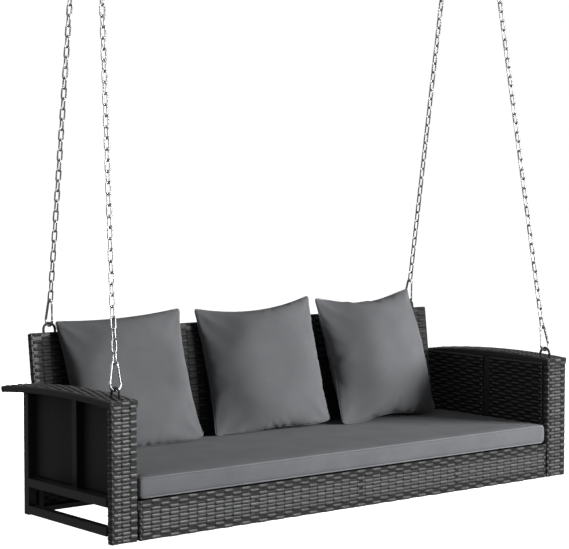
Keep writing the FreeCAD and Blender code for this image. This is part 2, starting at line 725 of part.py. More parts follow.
def link_shape(pitch):
    """One oval link, long axis Z, in the XZ plane, with its middle at the origin."""
    half = size("link_half_width")
    wire = size("link_wire")
    straight_half = (pitch + size("touch_gap") + wire - 2 * half) / 2
    pieces = []
    for k in (-1, 1):
        foot = Vector(k * half, 0, -straight_half)
        pieces.append(Part.makeCylinder(wire / 2, 2 * straight_half, foot))
        section = Part.Face(Part.Wire(Part.Circle(Vector(half, 0, k * straight_half), Vector(0, 0, 1),
                                                  wire / 2).toShape()))
        pieces.append(section.revolve(Vector(0, 0, k * straight_half), Vector(0, -k, 0), 180))
    return pieces[0].multiFuse(pieces[1:]).removeSplitter()


def chain(label, bottom_hook, top, wide_last):
    """Links from a carabiner's narrow bend to the top carabiner, every other link turned a quarter."""
    reach = size("hook_centres") + size("hook_narrow") - size("hook_wire") / 2
    first_wire = reach - size("link_wire") / 2 - size("touch_gap")
    start = bottom_hook.multVec(Vector(0, 0, first_wire))
    attitude = bottom_hook.Rotation
    end_to_end = (top - start).Length - size("link_wire") - size("touch_gap")
    count = round(end_to_end / size("link_pitch"))
    if count % 2 != wide_last:
        count += 1 if end_to_end / size("link_pitch") > count else -1
    pitch = end_to_end / count
    print(f"{label}: {count} links, pitch {pitch:.2f} mm")
    single = link_shape(pitch)
    rise = Vector(0, 0, (pitch + size("touch_gap") + size("link_wire")) / 2)
    links = []
    for k in range(count):
        turn = attitude if k % 2 else attitude * QUARTER
        link = single.copy()
        link.Placement = Placement(start + attitude.multVec(rise + Vector(0, 0, k * pitch)), turn)
        links.append(link)
    run = doc.addObject("Part::Feature", "Chain")
    run.Shape = Part.makeCompound(links)
    node(label, run)


def hanging_gear():
    pins = []
    for side in SIDES:
        outward = Vector(-1 if side == "left" else 1, 0, 0)
        rings = {
            "front": (front_ring_middle(side), QUARTER, outward, -1, 0),
            "rear": (rear_ring_middle(side), BACK_LEAN, Vector(0, 1, 0), 1, 1),
        }
        for name, (middle, attitude, spine, toward, odd) in rings.items():
            u_bolt(f"{side}_{name}_ring", middle, attitude)
            bar = ring_top(middle, attitude)
            top = chain_top(side, toward)
            along = frame_along(top - bar, spine)
            wires = (size("hook_wire") + size("ring_wire")) / 2
            seat_of_hook = size("hook_wide") - wires - size("touch_gap")
            hook = Placement(bar + along.multVec(Vector(0, 0, seat_of_hook)), along)
            carabiner(f"{side}_{name}_carabiner", hook)
            gate(f"{side}_{name}_gate", hook)
            pins.append(rivet_pin(hook))
            chain(f"{side}_{name}_chain", hook, top, odd)
        top_hook = Placement(top_hook_middle(side), frame_along(Vector(0, 0, 1), Vector(0, 1, 0)))
        carabiner(f"{side}_top_carabiner", top_hook)
        gate(f"{side}_top_gate", top_hook)
        pins.append(rivet_pin(top_hook))
    node("gate_rivets", group(*pins))


# ---------------------------------------------------------------- ceiling hangers

def ceiling_plate(side):
    body = doc.addObject("PartDesign::Body", f"{side}Plate")
    outline = sketch_on(body, "XY_Plane", f"{side}PlateOutline")
    centred_rectangle(outline, "plate_width", "plate_length")
    pad = body.newObject("PartDesign::Pad", f"{side}PlatePad")
    pad.Profile = outline
    bind(pad, Length="plate_thickness")
    doc.recompute()
    upright = [f"Edge{k + 1}" for k, edge in enumerate(pad.Shape.Edges)
               if abs(edge.tangentAt(edge.FirstParameter).z) > 0.9]
    corners = body.newObject("PartDesign::Fillet", f"{side}PlateCorners")
    corners.Base = (pad, upright)
    bind(corners, Radius="plate_corner")
    doc.recompute()
    centres = sketch_on(body, "XY_Plane", f"{side}PlateHoles", size("plate_thickness"))
    for k in (-1, 1):
        y = k * size("plate_hole_spacing") / 2
        index = centres.addGeometry(Part.Circle(Vector(0, y, 0), Vector(0, 0, 1), size("plate_hole") / 2))
        centres.addConstraint(Sketcher.Constraint("PointOnObject", index, 3, -2))
        rule = centres.addConstraint(Sketcher.Constraint("DistanceY", -1, 1, index, 3, y))
        centres.setExpression(f"Constraints[{rule}]", expr(f"{k} * plate_hole_spacing / 2"))
        rule = centres.addConstraint(Sketcher.Constraint("Radius", index, size("plate_hole") / 2))
        centres.setExpression(f"Constraints[{rule}]", expr("plate_hole / 2"))
    doc.recompute()
    holes = body.newObject("PartDesign::Hole", f"{side}PlateDrill")
    holes.Profile = centres
    holes.Threaded = False
    bind(holes, Diameter="plate_hole")
    holes.DepthType = "ThroughAll"
    x = across(side, "hang_inset", "0")
    place(body, x, "pivot_depth", f"{CEILING} - plate_thickness")
    node(f"{side}_ceiling_plate", body)


def ceiling_eye(side):
    """A U of round bar welded under the plate: the swing turns on its lowest point."""
    radius = size("eye_radius")
    legs = [straight("ring_wire", k * radius, 0, 90, size("eye_drop") - radius) for k in (-1, 1)]
    eye = fuse(bend("eye_radius", "ring_wire", 180, 180, 0, 0), *legs)
    middle = point(mirror_x(side, size("hang_inset")), size("pivot_depth"), number(PIVOT) + radius)
    eye.Placement = Placement(middle, Rotation())
    node(f"{side}_ceiling_eye", eye)


def build():
    for side in SIDES:
        ceiling_plate(side)
        ceiling_eye(side)
        arm_frame(side)
        arm_wicker(side)
        armrest(side)
    seat()
    aprons()
    back()
    fasteners()
    cushion()
    for name, pose in PILLOWS.items():
        pillow(name, *pose)
    hanging_gear()
    doc.recompute()


def check_and_write():
    bad = [o.Name for o in doc.Objects if "Invalid" in o.State or "Error" in o.State]
    if bad:
        raise RuntimeError(f"objects that failed to recompute: {bad}")
    for label, obj in nodes.items():
        shape = obj.Shape
        if shape.isNull() or not shape.isValid() or not shape.Solids or shape.Volume <= 0:
            raise RuntimeError(f"{label} has no valid solid")
    for label, obj in nodes.items():
        obj.Shape.exportStep(f"parts/{label}.step")
    print(f"{len(nodes)} sub-parts, ceiling {number(CEILING):.2f} mm above the seat's underside")


build()
check_and_write()
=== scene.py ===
"""Looks for the hanging wicker porch swing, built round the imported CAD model. Metres, in the CAD frame."""
import json
import math
from collections import namedtuple

import bmesh
import bpy
import numpy as np
from mathutils import Euler, Matrix, Vector


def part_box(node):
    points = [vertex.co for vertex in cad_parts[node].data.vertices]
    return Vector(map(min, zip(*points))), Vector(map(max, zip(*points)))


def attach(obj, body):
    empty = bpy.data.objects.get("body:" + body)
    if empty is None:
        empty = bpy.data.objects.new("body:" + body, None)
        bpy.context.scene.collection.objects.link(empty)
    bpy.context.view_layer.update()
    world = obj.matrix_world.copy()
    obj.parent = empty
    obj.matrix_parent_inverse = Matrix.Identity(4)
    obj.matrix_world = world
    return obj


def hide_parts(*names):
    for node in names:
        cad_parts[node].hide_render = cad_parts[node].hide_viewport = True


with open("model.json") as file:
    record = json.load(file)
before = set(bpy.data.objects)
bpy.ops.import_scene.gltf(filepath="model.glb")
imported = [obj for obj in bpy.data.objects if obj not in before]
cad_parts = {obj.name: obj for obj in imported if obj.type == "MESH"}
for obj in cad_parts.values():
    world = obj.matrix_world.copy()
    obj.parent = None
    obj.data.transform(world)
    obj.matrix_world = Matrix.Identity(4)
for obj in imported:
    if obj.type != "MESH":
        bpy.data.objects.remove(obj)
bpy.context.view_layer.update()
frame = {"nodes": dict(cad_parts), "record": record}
NODES = frame["nodes"]
SIDES = ("left", "right")
MM = 0.001
rng = np.random.default_rng(7)

# ------------------------------------------------------------------ sizes

COLUMN_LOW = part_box("left_column_wicker")[0]
SEAT_FRONT = COLUMN_LOW.y
SEAT_BOTTOM = COLUMN_LOW.z
ARM_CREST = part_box("left_armrest_wicker")[1].z
ARCH_RADIUS = 3.5
ARCH_CREST_DEPTH = 0.240
ARM_THICKNESS = 0.022
ARM_UPRIGHT = (0.274, 0.307)  # depths between which an arm's inner upright interrupts the woven panel
BACK_RECLINE = math.radians(7)
BACK_THICKNESS = 0.025
WING_HEIGHT = 87 * MM  # the rear apron is wider below this

ROW_PITCH = 10.75 * MM
BAY = 32 * MM
STRAND_WIDTH = 11.2 * MM
STRAND_RISE = 2.6 * MM
WAVE = 1.5 * MM
SKIN = STRAND_RISE + WAVE  # depth of the weave under its own crests
LAP = 0.6 * MM  # how far the dark backing reaches into the weave's skin
CORNER = 7 * MM  # radius of a woven box's upright corners
BULGE_SHARPNESS = 6.0
BRICK_SAMPLES = np.array([0.0, 0.28, 0.42, 0.5, 0.58, 0.72])  # shares of the way between two stakes
WANDER = 0.35 * MM  # how far a strand strays from its row
SLACK = 0.35  # how much lower than the wave a loose brick may lie
COLUMN_STAKES = 8
FASCIA = 4 * MM  # smooth edge of an armrest, beside its strands
BACK_PAINTED_SHADE = 0.48  # painted shade: the back's strands are drawn darker, standing in for the shadow between and beside the pillows

# ------------------------------------------------------------------ small helpers


def add_object(name, data):
    obj = bpy.data.objects.new(name, data)
    bpy.context.scene.collection.objects.link(obj)
    return obj


def new_object(name, verts, faces, smooth=True):
    mesh = bpy.data.meshes.new(name)
    mesh.from_pydata([tuple(v) for v in verts], [], [tuple(f) for f in faces])
    mesh.validate()
    mesh.update()
    if smooth:
        mesh.shade_smooth()
    return add_object(name, mesh)


def join(name, pieces):
    """One object from several, keeping each one's materials and attributes."""
    bpy.ops.object.select_all(action="DESELECT")
    for piece in pieces:
        piece.select_set(True)
    bpy.context.view_layer.objects.active = pieces[0]
    bpy.ops.object.join()
    pieces[0].name = name
    return pieces[0]


def paint(obj, material):
    obj.data.materials.clear()
    obj.data.materials.append(material)


def prism(name, outline, low, high, axis):
    """A closed prism: a 2D outline in the two other axes, run along one axis from low to high."""
    n = len(outline)
    verts = []
    for level in (low, high):
        for a, b in outline:
            point = {"X": (level, a, b), "Y": (a, level, b), "Z": (a, b, level)}[axis]
            verts.append(point)
    faces = [(k, (k + 1) % n, n + (k + 1) % n, n + k) for k in range(n)]
    faces += [tuple(range(n))[::-1], tuple(range(n, 2 * n))]
    obj = new_object(name, verts, faces, smooth=False)
    mend_normals(obj)
    return obj


def mend_normals(obj):
    bm = bmesh.new()
    bm.from_mesh(obj.data)
    bmesh.ops.recalc_face_normals(bm, faces=bm.faces)
    bm.to_mesh(obj.data)
    bm.free()


# ------------------------------------------------------------------ weave


class Line:
    """A run of straight pieces and round corners in a plane, walked by its length.

    corners are 2D points, and every inner corner is rounded. A closed line comes back to its start.
    """

    def __init__(self, corners, radius, closed=False):
        points = [np.array(c, float) for c in corners]
        n = len(points)
        path = []
        for k, corner in enumerate(points):
            if not closed and k in (0, n - 1):
                path.append(corner)
                continue
            before = points[(k - 1) % n] - corner
            after = points[(k + 1) % n] - corner
            before = before / np.linalg.norm(before)
            after = after / np.linalg.norm(after)
            half = math.acos(max(-1.0, min(1.0, float(before @ after)))) / 2
            reach = radius / math.tan(half)
            centre = corner + (before + after) / np.linalg.norm(before + after) * radius / math.sin(half)
            start = corner + before * reach - centre
            end = corner + after * reach - centre
            count = max(4, int((math.pi - 2 * half) * radius / MM) + 1)
            first = math.atan2(start[1], start[0])
            turn = math.atan2(start[0] * end[1] - start[1] * end[0], float(start @ end))
            for t in np.linspace(0, 1, count + 1):
                angle = first + turn * t
                path.append(centre + radius * np.array([math.cos(angle), math.sin(angle)]))
        if closed:
            path.append(path[0])
        self.path = np.array(path)
        gaps = np.linalg.norm(np.diff(self.path, axis=0), axis=1)
        self.at = np.concatenate([[0], np.cumsum(gaps)])
        self.length = self.at[-1]
        self.closed = closed

    def point(self, s):
        if self.closed:
            s = np.mod(s, self.length)
        return np.stack([np.interp(s, self.at, self.path[:, k]) for k in (0, 1)], axis=-1)

    def tangent(self, s):
        d = 0.6 * MM
        if self.closed:
            ahead, behind = self.point(s + d), self.point(s - d)
        else:
            ahead = self.point(np.clip(s + d, 0, self.length))
            behind = self.point(np.clip(s - d, 0, self.length))
        t = ahead - behind
        return t / np.linalg.norm(t, axis=-1, keepdims=True)


# a strand's cross-section: share of its half width, share of its rise, and its painted light and shade: dark
# along its lower edge, lightest on its upper half
SECTION = np.array([(-1.0, 0.0, 0.0), (-0.88, 0.5, 0.2), (-0.5, 0.88, 0.6), (0.0, 1.0, 0.85),
                    (0.5, 0.88, 1.0), (0.88, 0.5, 0.9), (1.0, 0.0, 0.1)])


def strands(name, centres, outs, acrosses, painted_light, closed):
    """Flat half-round strands as one mesh.

    The arrays of points and directions are (strands, samples, 3), and the painted light and shade along them
    is (strands, samples).
    """
    count, samples, _ = centres.shape
    ring = len(SECTION)
    verts = (centres[:, :, None, :]
             + acrosses[:, :, None, :] * (SECTION[:, 0] * STRAND_WIDTH / 2)[None, None, :, None]
             + outs[:, :, None, :] * (SECTION[:, 1] * STRAND_RISE)[None, None, :, None])
    index = np.arange(count * samples * ring).reshape(count, samples, ring)
    following = np.roll(index, -1, axis=1) if closed else index[:, 1:]
    here = index if closed else index[:, :-1]
    corner = [here, np.roll(here, -1, axis=2), np.roll(following, -1, axis=2), following]
    quads = np.stack(corner, axis=-1).reshape(-1, 4)
    faces = quads.tolist()
    if not closed:
        faces += index[:, 0, ::-1].tolist() + index[:, -1].tolist()
    obj = new_object(name, verts.reshape(-1, 3), faces)
    mesh = obj.data
    steps = np.linalg.norm(np.diff(centres, axis=1), axis=2)
    along = np.concatenate([np.zeros((count, 1)), np.cumsum(steps, axis=1)], axis=1)
    uv_along = np.repeat(along[:, :, None], ring, axis=2)
    uv_across = np.broadcast_to(SECTION[None, None, :, 0] * STRAND_WIDTH / 2, uv_along.shape)
    per_vertex = np.stack([uv_along, uv_across], axis=-1).reshape(-1, 2)
    corners = np.empty(len(mesh.loops), np.int32)
    mesh.loops.foreach_get("vertex_index", corners)
    layer = mesh.uv_layers.new(name="Strand")
    layer.data.foreach_set("uv", per_vertex[corners].astype(np.float32).ravel())
    # tone is a random tone per strand; the other attribute is painted light and shade: darker in the
    # crevices and along lower edges, lighter on upper halves
    shades = {"tone": np.repeat(rng.random(count), samples * ring),
              "painted_light": (painted_light[:, :, None] * SECTION[None, None, :, 2]).ravel()}
    for key, values in shades.items():
        layer = mesh.attributes.new(key, "FLOAT", "POINT")
        layer.data.foreach_set("value", values.astype(np.float32))
    return obj


def bulge(phase):
    """Height of a strand on its way over and under the stakes, from -1 to 1, with long flat crests."""
    return np.tanh(BULGE_SHARPNESS * np.cos(math.pi * phase))


def painted_crevice_shade(phase):
    """Painted shade along a strand: full colour on a crest, darkest where it dives between the stakes."""
    over = bulge(phase)
    return (0.92 + 0.08 * over) * (1 - 0.85 * (1 - over ** 2))


def phases(count):
    """Sample places along a run of stakes, closer together where the strand dives."""
    whole = np.arange(count)[:, None] + BRICK_SAMPLES[None, :]
    return whole.ravel()


def weave(name, line, rows, stakes, lift, closed=False, margin=0.0, painted_light=1.0):
    """Strands along a line, stacked in rows, over and under stakes at places along the line.

    lift(points2d, tangents2d, rows) gives (points, outward, across) in 3D.
    """
    stakes = np.asarray(stakes, float)
    first, last = (0.0, line.length) if closed else (margin, line.length - margin)
    if closed:
        ahead = np.append(stakes, stakes[0] + line.length)
        phase = phases(len(stakes))
        marks = np.interp(phase, np.arange(len(ahead)), ahead)
    else:
        inner = np.interp(phases(len(stakes) - 1), np.arange(len(stakes)), stakes)
        inner = inner[(inner > first + 1 * MM) & (inner < last - 1 * MM)]
        bends = line.at[(line.at > first + 1 * MM) & (line.at < last - 1 * MM)]
        marks = np.unique(np.concatenate([[first, last], inner, bends]).round(5))
        phase = np.interp(marks, stakes, np.arange(len(stakes)))
    s = np.broadcast_to(marks, (len(rows), len(marks)))
    parity = np.arange(len(rows))[:, None]
    wander = rng.normal(0, WANDER, (len(rows), len(stakes) + 1))
    slack = rng.random((len(rows), len(stakes) + 1))
    cell = np.clip(np.round(phase).astype(int), 0, len(stakes))
    over = bulge(phase[None, :] + parity)
    height = WAVE * (over - 1 - SLACK * slack[:, cell] * (over > 0))
    knots = np.arange(len(stakes) + 1)
    if closed:
        wander[:, -1] = wander[:, 0]
    shift = np.array([np.interp(phase, knots, row) for row in wander])
    points, outs, acrosses = lift(line.point(s), line.tangent(s), np.asarray(rows)[:, None] + shift)
    centres = points + outs * (height - STRAND_RISE)[..., None]
    # painted shade: each strand is darker where it dives under a stake
    return strands(name, centres, outs, acrosses, painted_light * painted_crevice_shade(phase[None, :] + parity), closed)


def even_stakes(start, end):
    count = max(1, round((end - start) / BAY))
    return np.linspace(start, end, count + 1)


def row_places(low, high):
    count = max(1, round((high - low) / ROW_PITCH))
    pitch = (high - low) / count
    return low + pitch * (np.arange(count) + 0.5)


# ------------------------------------------------------------------ materials


class Nodes:
    """Short hand for building a material's node tree."""

    def __init__(self, name, **settings):
        self.material = bpy.data.materials.new(name)
        self.material.use_nodes = True
        self.tree = self.material.node_tree
        self.shader = self.tree.nodes["Principled BSDF"]
        for socket, value in settings.items():
            self.shader.inputs[socket.replace("_", " ")].default_value = value

    def add(self, kind, **settings):
        node = self.tree.nodes.new(kind)
        for key, value in settings.items():
            if hasattr(node, key):
                setattr(node, key, value)
            else:
                node.inputs[key.replace("_", " ")].default_value = value
        return node

    def link(self, source, target):
        self.tree.links.new(source, target)

    def math(self, operation, a, b=None):
        node = self.tree.nodes.new("ShaderNodeMath")
        node.operation = operation
        for k, value in enumerate((a, b)):
            if value is None:
                continue
            if isinstance(value, (int, float)):
                node.inputs[k].default_value = value
            else:
                self.link(value, node.inputs[k])
        return node.outputs[0]

    def ramp(self, source, stops):
        node = self.tree.nodes.new("ShaderNodeValToRGB")
        elements = node.color_ramp.elements
        while len(elements) < len(stops):
            elements.new(0.5)
        for element, (stop, value) in zip(elements, stops):
            element.position = stop
            element.color = (*value, 1) if isinstance(value, tuple) else (value, value, value, 1)
        self.link(source, node.inputs["Fac"])
        return node.outputs["Color"]

    def bump(self, height, strength, distance):
        node = self.add("ShaderNodeBump", Strength=strength, Distance=distance)
        self.link(height, node.inputs["Height"])
        self.link(node.outputs["Normal"], self.shader.inputs["Normal"])


def grey(value, tint=0.0):
    return (value, value * (1 + tint / 3), value * (1 + tint))


def wicker_material(name, gloss_level=0.5):
    """Resin strand: dark charcoal, each strand a little different, with fine grooves along it."""
    m = Nodes(name, Specular_IOR_Level=gloss_level)
    tone = m.add("ShaderNodeAttribute", attribute_name="tone")
    uv = m.add("ShaderNodeUVMap", uv_map="Strand")
    stretch = m.add("ShaderNodeMapping")
    stretch.inputs["Scale"].default_value = (12, 900, 1)
    m.link(uv.outputs["UV"], stretch.inputs["Vector"])
    grain = m.add("ShaderNodeTexNoise", Scale=1.0, Detail=3.0, Roughness=0.6)
    m.link(stretch.outputs["Vector"], grain.inputs["Vector"])
    mixed = m.math("ADD", m.math("MULTIPLY", tone.outputs["Fac"], 0.5),
                   m.math("MULTIPLY", grain.outputs["Fac"], 0.5))
    shades = [(0.15, 0.055), (0.55, 0.100), (0.9, 0.165)]
    colour = m.ramp(mixed, [(stop, grey(value, 0.02)) for stop, value in shades])
    # painted light and shade: the base colour is scaled down in crevices and along lower edges, and kept
    # full on the lit upper halves
    painted_light = m.add("ShaderNodeAttribute", attribute_name="painted_light")
    shaded = m.add("ShaderNodeVectorMath", operation="SCALE")
    m.link(colour, shaded.inputs[0])
    m.link(painted_light.outputs["Fac"], shaded.inputs["Scale"])
    m.link(shaded.outputs["Vector"], m.shader.inputs["Base Color"])
    gloss = m.math("MULTIPLY", grain.outputs["Fac"], 0.3)
    dull = m.math("MULTIPLY", painted_light.outputs["Fac"], -0.35)
    m.link(m.math("ADD", m.math("ADD", gloss, dull), 0.58), m.shader.inputs["Roughness"])
    m.bump(grain.outputs["Fac"], 0.35, 0.0004)
    return m.material


def plain_dark(name, base, roughness, noise_scale=60.0):
    """Dark paint or plastic with a faint mottle in colour and gloss."""
    spread = 0.25
    m = Nodes(name)
    place = m.add("ShaderNodeTexCoord")
    noise = m.add("ShaderNodeTexNoise", Scale=noise_scale, Detail=4.0)
    m.link(place.outputs["Object"], noise.inputs["Vector"])
    shades = [(0.3, base * (1 - spread)), (0.7, base * (1 + spread))]
    colour = m.ramp(noise.outputs["Fac"], [(stop, grey(value)) for stop, value in shades])
    m.link(colour, m.shader.inputs["Base Color"])
    rough = m.math("ADD", m.math("MULTIPLY", noise.outputs["Fac"], 0.2), roughness - 0.1)
    m.link(rough, m.shader.inputs["Roughness"])
    m.bump(noise.outputs["Fac"], 0.12, 0.0003)
    return m.material


def zinc_material():
    """Bright zinc plating with a fine light and dark mottle."""
    m = Nodes("bright_zinc", Metallic=1.0)
    place = m.add("ShaderNodeTexCoord")
    noise = m.add("ShaderNodeTexNoise", Scale=170.0, Detail=4.0)
    m.link(place.outputs["Object"], noise.inputs["Vector"])
    colour = m.ramp(noise.outputs["Fac"], [(0.4, (0.31, 0.315, 0.33)), (0.6, (0.76, 0.77, 0.79))])
    m.link(colour, m.shader.inputs["Base Color"])
    rough = m.math("ADD", m.math("MULTIPLY", noise.outputs["Fac"], 0.2), 0.12)
    m.link(rough, m.shader.inputs["Roughness"])
    m.bump(noise.outputs["Fac"], 0.08, 0.0001)
    return m.material


THREAD_WAVES = 3000.0  # radians of the thread pattern for each metre


def cloth_material(name, base, tint):
    """Polyester canvas: a fine over-and-under thread pattern, soft mottling and a little sheen."""
    m = Nodes(name, Roughness=0.92, Sheen_Weight=0.04, Sheen_Roughness=0.5, Specular_IOR_Level=0.10)
    place = m.add("ShaderNodeTexCoord")
    axes = m.add("ShaderNodeSeparateXYZ")
    m.link(place.outputs["Object"], axes.inputs["Vector"])
    waves = [m.math("SINE", m.math("MULTIPLY", axes.outputs[k], THREAD_WAVES)) for k in range(3)]
    weft = m.math("ADD", waves[0], m.math("MULTIPLY", waves[1], 0.7))
    threads_height = m.math("MULTIPLY", weft, waves[2])
    mottle = m.add("ShaderNodeTexNoise", Scale=9.0, Detail=6.0, Roughness=0.55)
    m.link(place.outputs["Object"], mottle.inputs["Vector"])
    fleck = m.add("ShaderNodeTexNoise", Scale=900.0, Detail=2.0)
    m.link(place.outputs["Object"], fleck.inputs["Vector"])
    mixed = m.math("ADD", m.math("MULTIPLY", mottle.outputs["Fac"], 0.55),
                   m.math("MULTIPLY", fleck.outputs["Fac"], 0.45))
    colour = m.ramp(mixed, [(0.3, grey(base * 0.82, tint)), (0.7, grey(base * 1.16, tint))])
    m.link(colour, m.shader.inputs["Base Color"])
    m.bump(m.math("ADD", threads_height, m.math("MULTIPLY", fleck.outputs["Fac"], 2.0)), 0.18, 0.0003)
    return m.material


WICKER = wicker_material("resin_wicker")
BACK_WICKER = wicker_material("resin_wicker_back", 0.18)
BACKING = plain_dark("wicker_backing", 0.012, 0.6)
FRAME_PAINT = plain_dark("frame_paint", 0.016, 0.42)
RING_PAINT = plain_dark("ring_paint", 0.012, 0.35, 300.0)
CAP_PLASTIC = plain_dark("cap_plastic", 0.015, 0.5)
ZINC = zinc_material()
CUSHION_CLOTH = cloth_material("cushion_cloth", 0.165, 0.09)
PILLOW_CLOTH = cloth_material("pillow_cloth", 0.148, 0.07)
# painted highlight: the welts are a lighter copy of the cushion cloth, so the piped edges read as a light
# line
WELT_CLOTH = cloth_material("welt_cloth", 0.230, 0.08)

# ------------------------------------------------------------------ woven pieces


def finish_wicker(name, woven, backing, *nodes, material=WICKER):
    for piece in backing:
        paint(piece, BACKING)
    for piece in woven:
        paint(piece, material)
    obj = join(name, [*woven, *backing])
    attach(obj, "swing")
    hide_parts(*nodes)


def rounded_box_outline(low, high, radius, inset=0.0, count=5):
    """A closed outline of a rectangle with round corners."""
    (x0, y0), (x1, y1) = low, high
    x0, y0, x1, y1 = x0 + inset, y0 + inset, x1 - inset, y1 - inset
    radius = max(radius - inset, 1 * MM)
    outline = []
    for cx, cy, start in ((x1 - radius, y0 + radius, -90), (x1 - radius, y1 - radius, 0),
                          (x0 + radius, y1 - radius, 90), (x0 + radius, y0 + radius, 180)):
        for k in range(count + 1):
            a = math.radians(start + 90 * k / count)
            outline.append((cx + radius * math.cos(a), cy + radius * math.sin(a)))
    return outline


def upright_lift(points, tangents, rows):
    """2D line in the XY plane, rows up Z. The outward side is to the right of travel."""
    zeros = np.zeros(points.shape[:-1])
    ones = np.ones(points.shape[:-1])
    place = np.stack([points[..., 0], points[..., 1], np.broadcast_to(rows, zeros.shape)], axis=-1)
    out = np.stack([tangents[..., 1], -tangents[..., 0], zeros], axis=-1)
    across = np.stack([zeros, zeros, ones], axis=-1)
    return place, out, across


def level_lift(points, rows, height, facing):
    """2D line along X, rows along Y, all at one height. A facing of 1 is upwards and -1 downwards."""
    shape = points.shape[:-1]
    place = np.stack([points[..., 0], np.broadcast_to(rows, shape), np.full(shape, height)], axis=-1)
    out = np.broadcast_to(np.array([0.0, 0.0, facing]), place.shape)
    across = np.broadcast_to(np.array([0.0, facing, 0.0]), place.shape)
    return place, out, across


def column(side):
    low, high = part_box(f"{side}_column_wicker")
    corners = [(low.x, low.y), (high.x, low.y), (high.x, high.y), (low.x, high.y)]
    line = Line(corners, CORNER, closed=True)
    stakes = np.linspace(0, line.length, COLUMN_STAKES, endpoint=False)
    rows = row_places(low.z + 1 * MM, high.z - 3 * MM)
    woven = weave(f"{side}_column", line, rows, stakes, upright_lift, closed=True)
    outline = rounded_box_outline((low.x, low.y), (high.x, high.y), CORNER, SKIN - LAP)
    backing = prism("backing", outline, low.z + 0.5 * MM, high.z - 1 * MM, "Z")
    finish_wicker(f"{side}_column_weave", [woven], [backing], f"{side}_column_wicker")


def apron_rows(which, ends, rows):
    """Strands across one apron, with their ends turned in a little."""
    low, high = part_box(f"{which}_apron_wicker")
    turn_in = 10 * MM
    face, inner = (low.y, low.y + turn_in) if which == "front" else (high.y, high.y - turn_in)
    start, end = ends if which == "front" else ends[::-1]
    line = Line([(start, inner), (start, face), (end, face), (end, inner)], 4 * MM)
    return weave(f"{which}_apron", line, rows, even_stakes(0, line.length), upright_lift)


def apron(which):
    low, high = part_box(f"{which}_apron_wicker")
    between_arms = [corner.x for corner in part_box("front_apron_wicker")]
    rows = row_places(low.z, high.z)
    under_arms = rows < low.z + WING_HEIGHT - ROW_PITCH / 2
    woven = [apron_rows(which, (low.x, high.x), rows[under_arms]),
             apron_rows(which, between_arms, rows[~under_arms])]
    depth = SKIN - 0.5 * MM
    sheet = 1.5 * MM
    y0 = low.y + depth if which == "front" else high.y - depth - sheet
    parts = [((low.x, high.x), 1 * MM, WING_HEIGHT),
             (between_arms, WING_HEIGHT, high.z - low.z)]
    backing = []
    for ends, bottom, top in parts:
        x0, x1 = ends[0] + depth, ends[1] - depth
        outline = [(x0, y0), (x1, y0), (x1, y0 + sheet), (x0, y0 + sheet)]
        backing.append(prism("backing", outline, low.z + bottom, low.z + top - 1 * MM, "Z"))
    finish_wicker(f"{which}_apron_weave", woven, backing, f"{which}_apron_wicker")


def arm_panel(side):
    """The inner side of an arm: two woven fields beside its upright, on a thin sheet that fills the arch."""
    low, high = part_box(f"{side}_arm_panel")
    face = high.x if side == "left" else low.x
    upright = [SEAT_FRONT + depth for depth in ARM_UPRIGHT]
    top = arch_height(low.y + 0.5 * (high.y - low.y)) - ARM_THICKNESS
    woven = []
    for start, end in ((low.y, upright[0]), (upright[1], high.y)):
        run = (end, start) if side == "left" else (start, end)
        line = Line([(face, run[0]), (face, run[1])], 1 * MM)
        rows = row_places(low.z, top)
        stakes = even_stakes(0, line.length)
        woven.append(weave(f"{side}_panel", line, rows, stakes, upright_lift))
    skin = 1 * MM
    near, far = (low.x, high.x - skin) if side == "left" else (low.x + skin, high.x)
    start = low.y - 10 * MM
    depths = np.linspace(high.y, start, 16)
    outline = [(start, low.z + skin), (high.y, low.z + skin)]
    outline += [(y, float(arch_height(y)) - ARM_THICKNESS + 2 * MM) for y in depths]
    backing = [prism("backing", outline, near, far, "X")]
    finish_wicker(f"{side}_arm_panel_weave", woven, backing, f"{side}_arm_panel")


def arch_height(y):
    """Height of the armrest's top at a place in Y."""
    dy = y - (SEAT_FRONT + ARCH_CREST_DEPTH)
    return ARM_CREST - ARCH_RADIUS + np.sqrt(ARCH_RADIUS ** 2 - dy ** 2)


def square_to_arch(ys):
    """Unit vectors square to the armrest's arch, pointing up, at some places in Y."""
    slope = np.gradient(arch_height(ys), ys)
    along = np.stack([np.zeros_like(ys), np.ones_like(ys), slope], axis=-1)
    along /= np.linalg.norm(along, axis=-1, keepdims=True)
    return np.stack([np.zeros_like(ys), -along[:, 2], along[:, 1]], axis=-1)


def arm_strands(side, low, high):
    """Strands that run the length of the arm, over its top and under its underside."""
    woven = []
    for name, sign, start in (("top", 1, SEAT_FRONT + 1.5 * MM), ("under", -1, low.y + 1 * MM)):
        stakes = even_stakes(start, high.y)
        knots = np.arange(len(stakes))
        ys = np.interp(np.append(phases(len(stakes) - 1), knots[-1]), knots, stakes)
        phase = np.interp(ys, stakes, knots)
        places = row_places(low.x + FASCIA, high.x - FASCIA)
        up = square_to_arch(ys)
        face = np.stack([np.zeros_like(ys), ys, arch_height(ys)], axis=-1)
        if sign < 0:
            face = face - up * ARM_THICKNESS
        out = np.broadcast_to(up * sign, (len(places), len(ys), 3))
        steps = phase[None, :] + np.arange(len(places))[:, None]
        height = WAVE * (bulge(steps) - 1) - STRAND_RISE
        centres = face[None] + out * height[..., None]
        centres[..., 0] += places[:, None]
        across = np.broadcast_to(np.array([float(sign), 0, 0]), out.shape)
        # painted shade: each strand is darker where it dives under a stake
        woven.append(strands(f"{side}_arm_{name}", centres, out, across, painted_crevice_shade(steps), False))
    return woven


